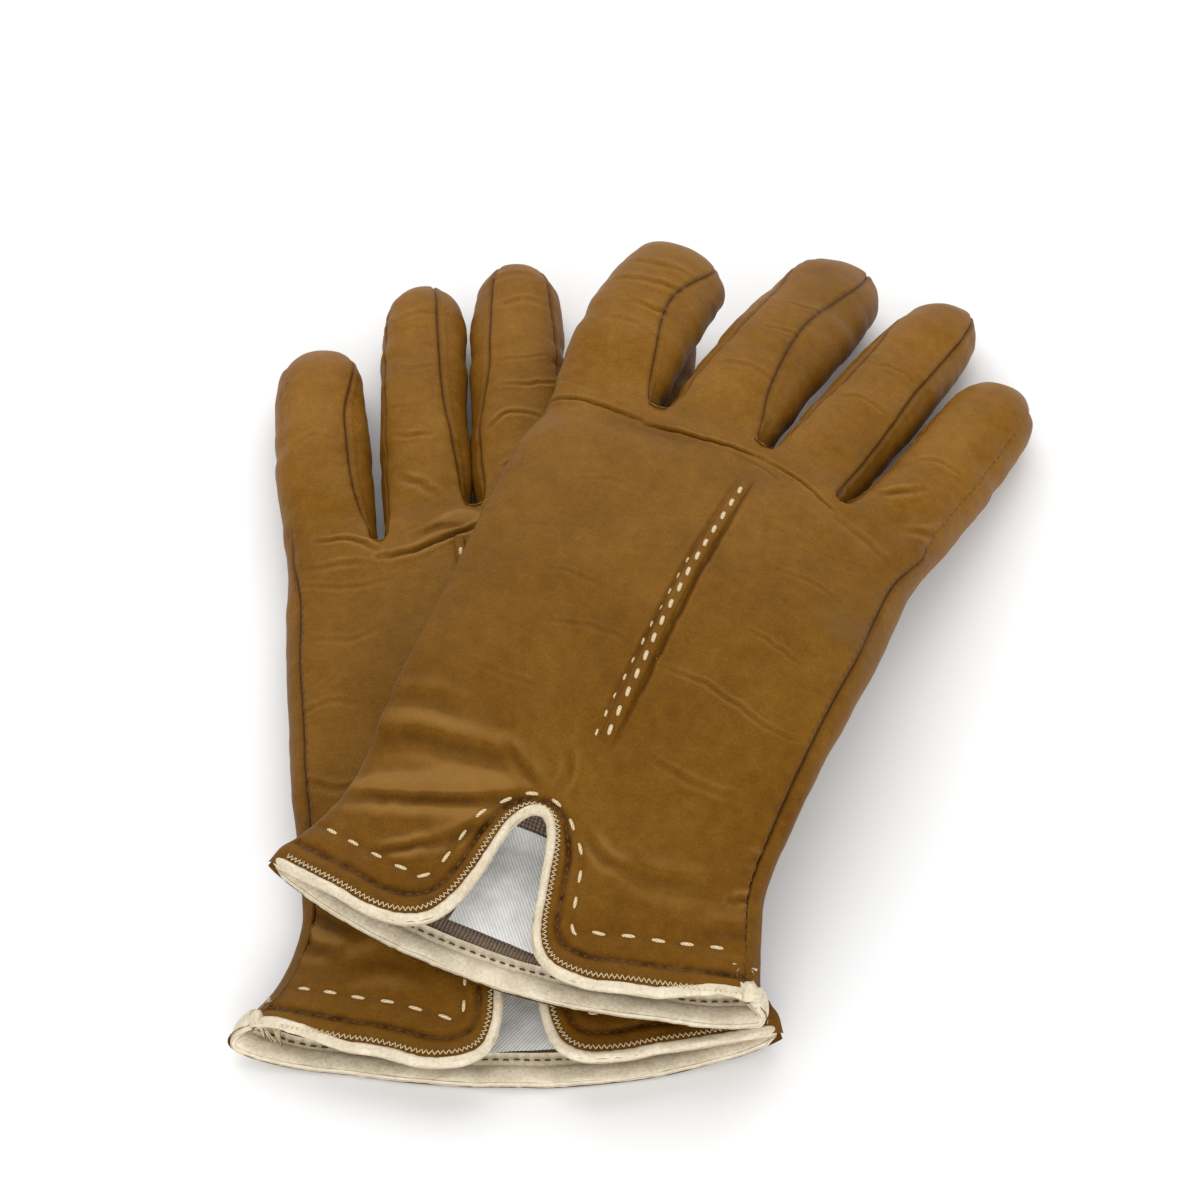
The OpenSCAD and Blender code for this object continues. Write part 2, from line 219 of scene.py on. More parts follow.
def low_z(x, y):
    return (THUMB_H + 0.6) * smooth((4 - x) / 14) * smooth((y - 22) / 14) * smooth((124 - y) / 14)


def mid_z(x, y):
    return mix(5.4, AXIS_Z, smooth(y / 60)) + 0.5 * low_z(x, y)


def hand_point(a, y):
    """A point of the hand at section angle a (radians, 0 little-finger side, pi thumb side, pi/2 back)."""
    lo, hi = side_x(-1, y), side_x(1, y)
    c = power(np.cos(a), HAND_ROUND)
    x = (lo + hi) / 2 + (hi - lo) / 2 * c
    s = np.abs(np.sin(a)) ** HAND_PLUMP
    m = mid_z(x, y)
    z = np.where(np.sin(a) >= 0, m + (top_z(y) - m) * s, m - (m - low_z(x, y)) * s)
    return np.stack([x, y + 0 * x, z], -1)


def angle_of(x, y, front=False):
    """The section angle at which the hand passes x."""
    lo, hi = side_x(-1, y), side_x(1, y)
    u = np.clip((x - (lo + hi) / 2) / ((hi - lo) / 2), -1, 1)
    a = np.arccos(power(u, 1 / HAND_ROUND))
    return 2 * np.pi - a if front else a


# Fingers of each glove: foot (x, y), tip (x, y), half width, half height, height of the tip's middle, how far out
# each side's seam runs near the knuckle, at the middle and near the tip (1 is the edge), and how far it bows.
# Then where the fingers part, the hem's y in its middle, and the slit's edge from the thumb side, in mm
HAND = {
    RIGHT: {
        "index": dict(foot=(-37.0, 128.0), tip=(-38.9, 191.6), w=12.0, h=9.0, tip_z=8.4,
                      seams=(None, (0.64, 0.40, 0.72)), bow=-1.6),
        "middle": dict(foot=(-12.0, 130.0), tip=(-5.2, 215.0), w=12.0, h=9.3, tip_z=8.6,
                       seams=((0.74, 0.62, 0.84), (0.52, 0.30, 0.55)), bow=-1.4),
        "ring": dict(foot=(10.8, 128.0), tip=(21.4, 214.4), w=10.4, h=8.8, tip_z=8.2,
                     seams=((0.70, 0.60, 0.86), (0.80, 0.70, 0.75)), bow=-1.0),
        "little": dict(foot=(30.6, 119.5), tip=(40.6, 194.0), w=10.3, h=8.3, tip_z=7.8,
                       seams=((0.85, 0.80, 0.95), (0.86, 0.86, 0.86)), bow=0.6),
        "crotch": [(-24.4, 130.6), (0.6, 132.2), (20.6, 125.2)],
        "hem": -5.0,
        "vent": [(-30, -5.2), (-23, -4.9), (-17.6, -1.8), (-14.4, 4.4), (-12.8, 11.5), (-11.9, 18.6), (-10.3, 23.4),
                 (-7.6, 26.3), (-5.0, 24.6), (-2.8, 18.8), (-1.2, 12), (0.4, 5.4), (2.6, 0.4), (7.2, -3.0), (15, -3.3)],
    },
    LEFT: {
        "index": dict(foot=(-36.5, 128.0), tip=(-49.4, 193.0), w=11.6, h=8.2, tip_z=8.4,
                      seams=(None, (0.80, 0.60, 0.60)), bow=0.0),
        "middle": dict(foot=(-13.6, 130.0), tip=(-17.3, 211.5), w=11.3, h=8.6, tip_z=8.6,
                       seams=((0.85, 0.82, 0.72), (0.80, 0.57, 0.55)), bow=0.8),
        "ring": dict(foot=(8.9, 127.0), tip=(5.2, 207.0), w=10.4, h=8.5, tip_z=8.3,
                     seams=((0.65, 0.42, 0.32), (0.85, 0.85, 0.90)), bow=0.8),
        "little": dict(foot=(29.8, 119.0), tip=(31.6, 187.5), w=10.6, h=8.2, tip_z=8.0,
                       seams=((0.55, 0.50, 0.85), (0.90, 0.90, 0.90)), bow=0.6),
        "crotch": [(-24.8, 130.0), (-2.6, 128.4), (18.9, 119.6)],
        "hem": -9.0,
        "vent": [(-22, -10.1), (-14.4, -9.7), (-9.8, -6.4), (-7.9, -0.6), (-7.0, 7.4), (-6.7, 16), (-6.0, 22),
                 (-4.4, 24.6), (-2.2, 22), (-1.2, 16), (-0.4, 8), (0.6, 0), (3.4, -6), (9, -8.6), (16, -8)],
    },
}
SEAM_EXP, FINGER_PLUMP = 0.85, 0.92   # the same for a finger's section


def finger_axis(f):
    """A finger's foot, its length and its direction."""
    (x0, y0), (x1, y1) = f["foot"], f["tip"]
    long = math.hypot(x1 - x0, y1 - y0)
    return x0, y0, long, (x1 - x0) / long, (y1 - y0) / long


def finger_point(g, name, t, phi):
    """A point of a finger at t along it (0 foot, 1 tip) and section angle phi (pi/2 is its back)."""
    f = HAND[g][name]
    x0, y0, long, ux, uy = finger_axis(f)
    tt = np.clip(t, 0, 1)
    cap = np.clip((tt - CAP_FROM) / 0.20, 0, 1)
    dome = np.sqrt(np.clip(1 - cap ** 2.2, 0, 1))
    swell = 1 + 0.035 * np.sin(np.pi * np.clip(tt * 1.15, 0, 1)) - 0.05 * smooth((tt - 0.62) / 0.25)
    w = f["w"] * swell * dome
    h = f["h"] * (1 - 0.05 * smooth(tt * 1.4)) * dome
    zc = mix(AXIS_Z + 0.3, f["tip_z"], smooth((tt - 0.35) / 0.65)) + 1.6 * np.sin(np.pi * tt) - 1.5 * cap ** 2
    along = t * long
    side = w * power(np.cos(phi), SEAM_EXP) + f["bow"] * np.sin(np.pi * tt)
    return np.stack([x0 + ux * along + uy * side, y0 + uy * along - ux * side,
                     zc + h * power(np.sin(phi), FINGER_PLUMP)], -1)


# ---------------------------------------------------------------- meshes from grids

WELD = 0.02                 # points closer than about this are one, in mm


class Cloth:
    """Grids of points that are welded where they meet and share their shading across object edges."""

    def __init__(self):
        self.grids = []

    def add(self, points, owner, kind, **fields):
        self.grids.append(dict(p=np.asarray(points, float), owner=owner, kind=kind, fields=fields))
        return self.grids[-1]

    def weld(self):
        start, quads, owners = 0, [], []
        for g in self.grids:
            r, c = g["p"].shape[:2]
            q = grid_faces(np.arange(start, start + r * c).reshape(r, c))
            if g["fields"].get("flip"):
                q = q[:, ::-1]
            quads.append(q)
            owners += [g["owner"]] * len(q)
            start += r * c
        raw = np.concatenate([g["p"].reshape(-1, 3) for g in self.grids])
        key = np.round(raw / WELD).astype(np.int64)
        _, first, group = np.unique(key, axis=0, return_index=True, return_inverse=True)
        self.group = group.reshape(-1)
        self.points = raw[first]
        self.quads = self.group[np.concatenate(quads)]
        self.owners = np.array(owners)
        self.kinds = np.concatenate([np.full(g["p"].shape[0] * g["p"].shape[1], g["kind"]) for g in self.grids])[first]
        self.ids, start = [], 0
        for g in self.grids:
            r, c = g["p"].shape[:2]
            self.ids.append(self.group[start:start + r * c].reshape(r, c))
            start += r * c
        good = np.array([len(set(q)) >= 3 for q in self.quads.tolist()])
        self.quads, self.owners = self.quads[good], self.owners[good]

    def field(self, name, default=0.0, how="max"):
        """A per-point field given with some grids, gathered over the welded points."""
        vals = np.concatenate([np.broadcast_to(g["fields"].get(name, default), g["p"].shape[:2]).reshape(-1)
                               for g in self.grids]).astype(float)
        out = np.full(len(self.points), -1e9 if how == "max" else 1e9)
        (np.maximum if how == "max" else np.minimum).at(out, self.group, vals)
        return out

    def normals(self, p, quads=None):
        quads = self.quads if quads is None else quads
        a, b, c, d = (p[quads[:, k]] for k in range(4))
        n = np.cross(c - a, d - b)
        out = np.zeros_like(p)
        for k in range(4):
            np.add.at(out, quads[:, k], n)
        return unit(out, 1e-9)


def make_object(name, points, faces, material, fields=(), normals=None):
    """A mesh object from points in mm, in the row frame."""
    mesh = bpy.data.meshes.new(name)
    faces = faces.tolist() if isinstance(faces, np.ndarray) else faces
    faces = [f for f in (list(dict.fromkeys(q)) for q in faces) if len(f) >= 3]
    mesh.from_pydata((np.asarray(points) * MM).tolist(), [], faces)
    mesh.validate()
    for key, vals in dict(fields).items():
        vals = np.asarray(vals, np.float32)
        if vals.ndim == 1:
            mesh.attributes.new(key, "FLOAT", "POINT").data.foreach_set("value", vals)
        else:
            mesh.attributes.new(key, "FLOAT_VECTOR", "POINT").data.foreach_set("vector", vals.reshape(-1))
    mesh.polygons.foreach_set("use_smooth", [True] * len(mesh.polygons))
    if normals is not None:
        mesh.normals_split_custom_set_from_vertices(np.asarray(normals).tolist())
    mesh.materials.append(material)
    obj = bpy.data.objects.new(name, mesh)
    bpy.context.scene.collection.objects.link(obj)
    return obj


def put(g, name, points, faces, material, fields=()):
    """An object from glove points in mm, placed in the row frame."""
    faces = faces.tolist() if isinstance(faces, np.ndarray) else faces
    if g == LEFT:
        faces = [q[::-1] for q in faces]
    return make_object(name, place(g, points), faces, material, fields)


# ---------------------------------------------------------------- leather: hand, fingers and thumb

HAND_ROWS, NECK_ROWS, FINGER_ROWS, CAP_ROWS, SIDE_COLS = 220, 38, 130, 26, 19
BLOCK_COLS = {"index": 46, "middle": 46, "ring": 40, "little": 40}
OUTSEAM = 0.42              # section angle of the seam on the little-finger side
CAP_FROM = 0.80             # where a finger's domed end starts
CROTCH_ROW = NECK_ROWS - 1
SEAM_DEPTH = 0.55
NO_SEAM = 99.0              # a distance too far from any seam to show


def block_columns(n):
    c = np.linspace(0, 1, n)
    return mix(c, 0.5 - 0.5 * np.cos(np.pi * c), 0.6)


def split_y(x):
    """Where the hand's pieces end and the fingers' begin, behind the knuckles' hinges."""
    return curve(x, [(-60, 118.0), (-37, 119.5), (-12, 121.0), (10, 118.5), (31, 109.5), (45, 105.5)])


def hem_path(g, front):
    """The hem as points (x, y) from the thumb side to the little-finger side; the back's goes round the slit."""
    base, half = HAND[g]["hem"], 51.6
    arc = lambda x: base + x / 10 + 0.0035 * x * x
    if front:
        xs = np.linspace(-half, half, 80)
        return np.stack([xs, arc(xs)], 1)
    vent = HAND[g]["vent"]
    left = [(x, arc(x)) for x in np.linspace(-half, vent[0][0] - 6, 6)]
    right = [(x, arc(x)) for x in np.linspace(vent[-1][0] + 7, half, 6)]
    return path(left + list(vent) + right, 900)


def resample(p, at):
    """A line read at shares of its length, from 0 to 1."""
    s = distances(p)
    return read_at(at * s[-1], s, p)


def finger_edges(g):
    """Where the fingers part across the knuckles, in x, with the hand's two sides."""
    return [THUMB_EDGE] + [c[0] for c in HAND[g]["crotch"]] + [LITTLE_EDGE]


def knuckle_columns(g):
    """Column places across the hand from 0 to 1, and each finger's first and last column."""
    xs = finger_edges(g)
    places, spans, n = [], {}, 0
    for i, name in enumerate(FINGERS):
        c = block_columns(BLOCK_COLS[name])
        part = ((xs[i] - xs[0]) + c * (xs[i + 1] - xs[i])) / (xs[-1] - xs[0])
        spans[name] = (n, n + len(part) - 1)
        places += list(part if i == 0 else part[1:])
        n += len(part) - 1
    return np.array(places), spans


def even_angles(places, a):
    """Section angles for places spread evenly over the skin across the knuckles, between the ends of a."""
    s = distances(hand_point(a, KNUCKLE_Y))
    return np.interp(places * s[-1], s, a)


def hand_columns(g, front):
    """Section angle and y at the hem and at the knuckles, for each column, and each finger's columns."""
    places, spans = knuckle_columns(g)
    hem = resample(hem_path(g, front), places)
    a_hem = angle_of(hem[:, 0], hem[:, 1], front)
    turn = 1.1                      # the last part of the section, drawn in so that it ends at the outseam
    if front:
        end = 2 * np.pi - turn
        a_hem = np.where(a_hem > end, end + (a_hem - end) * (turn + OUTSEAM) / turn, a_hem)
    else:
        a_hem = np.where(a_hem < turn, turn + (a_hem - turn) * (turn - OUTSEAM) / turn, a_hem)
    xs = finger_edges(g)
    a_end = np.zeros_like(places)
    skin = even_angles(np.linspace(0, 1, 400), np.linspace(np.pi, 2 * np.pi + OUTSEAM if front else OUTSEAM, 900))
    skin_x = hand_point(skin, KNUCKLE_Y)[:, 0]
    rising = slice(0, 380)         # where x still grows along the skin
    for i, name in enumerate(FINGERS):
        lo, hi = spans[name]
        from_a = np.pi if i == 0 else np.interp(xs[i], skin_x[rising], skin[rising])
        to_a = skin[-1] if i == 3 else np.interp(xs[i + 1], skin_x[rising], skin[rising])
        a_end[lo:hi + 1] = even_angles(block_columns(BLOCK_COLS[name]), np.linspace(from_a, to_a, 300))
    y_end = split_y(hand_point(a_end, KNUCKLE_Y)[:, 0])
    return a_hem, hem[:, 1], a_end, y_end, spans


def strip_angles(g, name, t, starts, front):
    """Section angles of a finger strip's two edges at t along the finger: thumb side, little-finger side."""
    out = []
    for table, s, start in zip(HAND[g][name]["seams"], (-1, 1), starts):
        if table is None:
            phi = np.full_like(t, np.pi)
            out.append(-phi if front else phi)
            continue
        if front:
            u = 0.74 + 0 * t
        else:
            u = curve(t, list(zip((0.06, 0.24, 0.56, 0.92), (max(0.80, table[0]),) + tuple(table))))
        if s == 1 and name == "little":
            phi = mix(OUTSEAM, np.arccos(power(u, 1 / SEAM_EXP)), smooth(t / 0.2))
            out.append(mix(phi, 0.0, smooth((t - 0.86) / 0.13)))
            continue
        open_up = np.clip((t - start) / 0.035, 0, 1)
        u = mix(0.985, u, np.sqrt(1 - (1 - open_up) ** 2))
        phi = np.arccos(power(s * u, 1 / SEAM_EXP))
        out.append(-phi if front else phi)
    return out


def arc_from(p, axis):
    d = np.linalg.norm(np.diff(p, axis=axis), axis=-1)
    z = np.zeros_like(np.take(d, [0], axis=axis))
    return np.cumsum(np.concatenate([z, d], axis=axis), axis=axis)


def hand_skin(cloth, g, front):
    """The hand's back or palm; returns its columns' section angles and y at the split, and each finger's columns."""
    a0, y0, a1, y1, spans = hand_columns(g, front)
    t = np.linspace(0, 1, HAND_ROWS)[:, None]
    y = mix(y0[None], y1[None], t)
    a = mix(a0[None], a1[None], smooth(t * 1.5))
    # columns run straight over the flat of the hand, and by section angle round its sides
    x = mix(hand_point(a0, y0)[None, :, 0], hand_point(a1, y1)[None, :, 0], smooth(t * 1.5))
    edge = smooth((np.abs(np.cos(a)) ** HAND_ROUND - 0.55) / 0.3)
    p = hand_point(mix(angle_of(x, y, front), a, edge), y)
    e = arc_from(p, 1)
    cloth.add(p, "hand", "front" if front else "back", flip=front, seam=e[:, -1:] - e)
    return a1, y1, spans


def finger_strip(g, i, front, a1, y1, span):
    """A finger's back or palm strip, with its neck from the split to the crotch, and where its two edges start."""
    name = FINGERS[i]
    lo, hi = span
    crotch = HAND[g]["crotch"]
    x0, y0, long, ux, uy = finger_axis(HAND[g][name])
    along = lambda q: ((q[0] - x0) * ux + (q[1] - y0) * uy) / long
    tl = along(crotch[max(i - 1, 0)])
    tr = along(crotch[i]) if i < 3 else along(crotch[2]) + 0.02
    c = block_columns(BLOCK_COLS[name])
    inner = smooth(2 * c) if i == 0 else smooth(2 * (1 - c)) if i == 3 else 1.0
    t_crotch = mix(tl, tr, c) - (2.0 * inner / long if front else 0.0)
    # the finger beyond the crotch, then its domed end
    t_main = mix(t_crotch[None], CAP_FROM, np.linspace(0, 1, FINGER_ROWS)[:, None])
    th = np.linspace(0, np.pi / 2, CAP_ROWS + 1)[1:, None]
    tt = np.vstack([t_main, CAP_FROM + (1 - CAP_FROM) * np.sin(th) + 0 * c[None]])
    start = (t_crotch[0], t_crotch[-1])
    left, right = strip_angles(g, name, tt, start, front)
    body = finger_point(g, name, tt, mix(left, right, c[None]))
    if not front:
        # near the crotch the back is as flat as the hand's
        flat = hand_point(angle_of(body[..., 0], body[..., 1]), body[..., 1])[..., 2]
        keep = smooth((c - 0.12) / 0.4) if i == 0 else smooth((0.88 - c) / 0.4) if i == 3 else 1.0
        keep = keep * (1 - smooth((tt - t_crotch[None]) / 0.26))
        body[..., 2] = mix(body[..., 2], flat, keep)
    k = np.linspace(0, 1, NECK_ROWS)[:-1, None]
    a_n = np.broadcast_to(a1[None, lo:hi + 1], (NECK_ROWS - 1, hi - lo + 1))
    y_c = body[0, :, 1]
    from_hand = hand_point(a_n, mix(y1[None, lo:hi + 1], y_c[None], k))
    back_off = (1 - k) * (y_c - y1[lo:hi + 1])[None]
    from_finger = body[0][None] - back_off[..., None] * np.array([ux, uy, 0.0])
    neck = mix(from_hand, from_finger, smooth(k)[..., None] * np.ones_like(from_hand))
    return np.vstack([neck, body]), start


def join_strips(strips):
    """Gives neighbouring strips one shared edge up to the crotch."""
    fall_r = np.concatenate([np.ones(CROTCH_ROW + 1), 1 - smooth(np.arange(1, 15) / 15)])
    n = len(fall_r)
    for front in (False, True):
        for a, b in zip(FINGERS[:-1], FINGERS[1:]):
            pa, pb = strips[(front, a)], strips[(front, b)]
            shared = 0.5 * (pa[:CROTCH_ROW + 1, -1] + pb[:CROTCH_ROW + 1, 0])
            for arr, edge, step in ((pa, -1, -1), (pb, 0, 1)):
                cols = arr.shape[1]
                fall_c = 1 - smooth(np.arange(cols)[::step] / cols / 0.35)
                delta = shared - arr[:CROTCH_ROW + 1, edge]
                more = np.vstack([delta, np.repeat(delta[-1:], n - CROTCH_ROW - 1, 0)])
                arr[:n] += more[:, None, :] * fall_r[:, None, None] * fall_c[None, :, None]


def fourchette(g, name, strips, starts, right):
    """The strip down one side of a finger, between its back and its palm strip."""
    col = -1 if right else 0
    top, low = strips[(False, name)][CROTCH_ROW:, col], strips[(True, name)][CROTCH_ROW:, col]
    v = np.linspace(0, 1, SIDE_COLS)
    t_back, t_palm = along_t(g, name, top), along_t(g, name, low)
    from_a = strip_angles(g, name, t_back, starts[(name, False)], False)[col]
    to_a = strip_angles(g, name, t_palm, starts[(name, True)], True)[col]
    if not right:
        to_a = 2 * np.pi + to_a
    p = finger_point(g, name, mix(t_back[:, None], t_palm[:, None], v[None]),
                     mix(from_a[:, None], to_a[:, None], v[None]))
    p += mix((top - p[:, 0])[:, None], (low - p[:, -1])[:, None], v[None, :, None])
    web = mix(top[0], low[0], v[:, None]) + np.array([0, -1.6, 0]) * np.sin(np.pi * v)[:, None]
    fall = 1 - smooth(np.arange(len(top)) / 16)
    return p + (web - p[0])[None] * fall[:, None, None]


def build_leather(g):
    """Every leather grid of one glove's hand and fingers, in the glove's own frame; the first two are the hand's."""
    cloth = Cloth()
    strips, starts = {}, {}
    for front in (False, True):
        a1, y1, spans = hand_skin(cloth, g, front)
        for i, name in enumerate(FINGERS):
            strips[(front, name)], starts[(name, front)] = finger_strip(g, i, front, a1, y1, spans[name])
    join_strips(strips)
    for (front, name), strip in strips.items():
        e = arc_from(strip, 1)
        off = 60 * (1 - smooth((np.arange(len(strip)) - CROTCH_ROW + 3) / 4))[:, None]   # no seam below the crotch
        left = e + off if name != "index" else e * 0 + NO_SEAM
        right = e[:, -1:] - e + (0 if name == "little" else off)
        cloth.add(strip, name, "front" if front else "back", flip=front, seam=np.minimum(left, right))
    for a, b in zip(FINGERS[:-1], FINGERS[1:]):
        for name, right in ((a, True), (b, False)):
            p = fourchette(g, name, strips, starts, right)
            e = arc_from(p, 1)
            cloth.add(p, name, "side", flip=not right, seam=np.minimum(e, e[:, -1:] - e))
    cloth.weld()
    return cloth


def along_t(g, name, p):
    f = HAND[g][name]
    (x0, y0), (x1, y1) = f["foot"], f["tip"]
    long = math.hypot(x1 - x0, y1 - y0)
    return ((p[:, 0] - x0) * (x1 - x0) + (p[:, 1] - y0) * (y1 - y0)) / long ** 2


def near_line(p, line):
    """Distance in x and y from points to a line of points, and how far along it each lies, from 0 to 1."""
    d = np.full(len(p), 1e9)
    at = np.zeros(len(p))
    reach = 14                      # points further off than this don't matter
    low, high = line[:, :2].min(0) - reach, line[:, :2].max(0) + reach
    box = np.all((p[:, :2] > low) & (p[:, :2] < high), axis=1)
    q = p[box, :2]
    dq, aq = d[box], at[box]
    for i in range(len(line) - 1):
        a, ab = line[i], line[i + 1] - line[i]
        u = np.clip(((q - a) @ ab) / max(ab @ ab, 1e-12), 0, 1)
        r = np.linalg.norm(q - (a + u[:, None] * ab), axis=1)
        near = r < dq
        dq = np.where(near, r, dq)
        aq = np.where(near, (i + u) / (len(line) - 1), aq)
    d[box], at[box] = dq, aq
    return d, at


def crease(p, points, width, deep, lip=0.35):
    """Depth of a crease along a line of (x, y) points, with a low raised lip on each side."""
    line = path(points, 40)
    q = np.stack([line[:, 0] / 1.9, line[:, 1] / 1.9, 0 * line[:, 0]], -1)
    line = line + 0.28 * np.stack([noise(q, 51), noise(q, 52)], -1)
    d, at = near_line(p, line)
    taper = np.sqrt(np.clip(np.sin(np.pi * np.clip(at, 0.02, 0.98)), 0, 1))
    return deep * taper * (np.exp(-(d / width) ** 2) - lip * np.exp(-((d - 2.1 * width) / (1.1 * width)) ** 2))


# ---------------------------------------------------------------- lines that follow the cuff's edge

def cuff_line(g, flat, sides, apex, ends=1.5):
    """A line on the back at a distance from the cuff's edge: along the hem, beside the slit and at its top."""
    p = hem_path(g, False)
    d = np.gradient(p, axis=0)
    n = unit(np.stack([-d[:, 1], d[:, 0]], 1))
    vent = HAND[g]["vent"]
    top = max(vent, key=lambda v: v[1])
    up = smooth((p[:, 1] - (HAND[g]["hem"] + 1)) / 9) * (np.abs(p[:, 0] - top[0]) < 16)
    near = 1 - smooth((np.linalg.norm(p - np.array(top), axis=1) - 2.0) / 8)
    off = mix(mix(flat, sides, up), apex, near)
    q = p + n * off[:, None]
    far = np.array([np.min(np.linalg.norm(p - a, axis=1)) for a in q])
    q = q[far > off * 0.97 - 0.05][::4]
    for _ in range(10):
        q[1:-1] = (q[:-2] + 2 * q[1:-1] + q[2:]) / 4
    q = path(q, 600)
    return q[(q[:, 0] > side_x(-1, q[:, 1]) + ends) & (q[:, 0] < side_x(1, q[:, 1]) - ends)]


# How far in from the cuff's edge two rows of stitches run: along the hem, beside the slit and at its top
RUN = (11.2, 7.6, 4.7)          # the cream running stitches
MACHINE = (6.2, 4.7, 3.7)       # the brown machine stitches


def shape_leather(g, cloth):
    """Seams, folds and creases pressed into the welded leather; fills cloth.seam, cloth.fold and cloth.rest."""
    p = cloth.points
    rest = p.copy()
    n = cloth.normals(p)
    seam = cloth.field("seam", NO_SEAM, "min")
    back = cloth.kinds == "back"
    fingers = smooth((p[:, 1] - split_y(p[:, 0]) - 2) / 14)
    groove = np.exp(-(seam / 0.42) ** 2)
    move = -SEAM_DEPTH * groove + 0.4 * (1 - np.exp(-seam / 2.0)) * fingers
    pucker = np.exp(-((seam - 1.4) / 1.5) ** 2)
    move += 0.16 * pucker * noise(rest * (0.25, 0.52, 0.2), 3)
    # loose leather over no hand: wide soft dents and finer ripples
    move += 0.55 * noise(rest / 21, 11 + g) + 0.26 * noise(rest / 9, 21 + g) + 0.09 * noise(rest / 3.6, 31 + g)
    move += fingers * 0.30 * noise(rest / (13, 4.6, 13), 41 + g)
    move -= 0.75 * (cloth.kinds == "side") * smooth(seam / 2.5)     # side strips lie flat against the next finger's
    tips = smooth((p[:, 1] - 165) / 25)
    move += tips * 0.10 * noise(rest / (9, 2.0, 9), 45 + g)
    # fold presses creases in, and the leather's colour darkens along it as painted shade and lightens raised folds as
    # painted highlight
    fold = np.zeros(len(p))
    for points, width, deep, lip in CREASES[g]:
        fold += crease(p, points, width, deep, lip) * back
    # the turned-in edge of the cuff and its stitched line
    low = back & (p[:, 1] < 45)
    d, _ = near_line(p, cuff_line(g, *MACHINE))
    e, _ = near_line(p, hem_path(g, False)[::3])
    fold += low * (0.75 * np.exp(-(d / 0.75) ** 2) * (1 + 0.5 * noise(rest / 1.3, 5)))
    move += low * np.where(e < 9, 0.45 * np.exp(-((e - 0.62 * MACHINE[0]) / 2.2) ** 2), 0)
    d, _ = near_line(p, cuff_line(g, *RUN))
    fold += low * 0.22 * np.exp(-(d / 0.9) ** 2)
    # the stitched tuck on the back
    a, b = (np.array(v) for v in POINT)
    for s, deep, width in ((-1, 0.55, 0.42), (1, 0.85, 0.45)):
        line = np.linspace(a + (s * 2.2, 0), b + (s * 1.65, 0), 12)
        fold += back * crease(p, line, width, deep, 0.1)
    move -= fold
    cloth.points = p + n * move[:, None]
    cloth.seam, cloth.fold, cloth.rest = seam, fold, rest


def floor_clip(g, cloth):
    """Eases the lower glove's leather off the table, where folds would press it through."""
    z = cloth.points[:, 2]
    if g == LEFT:
        z[:] = np.where(z < 0.5, 0.05 + 0.45 * np.exp((np.minimum(z, 0.5) - 0.5) / 0.45), z)


POINT = ((-1.0, 43.5), (1.7, 119.0))    # the tuck's foot and head

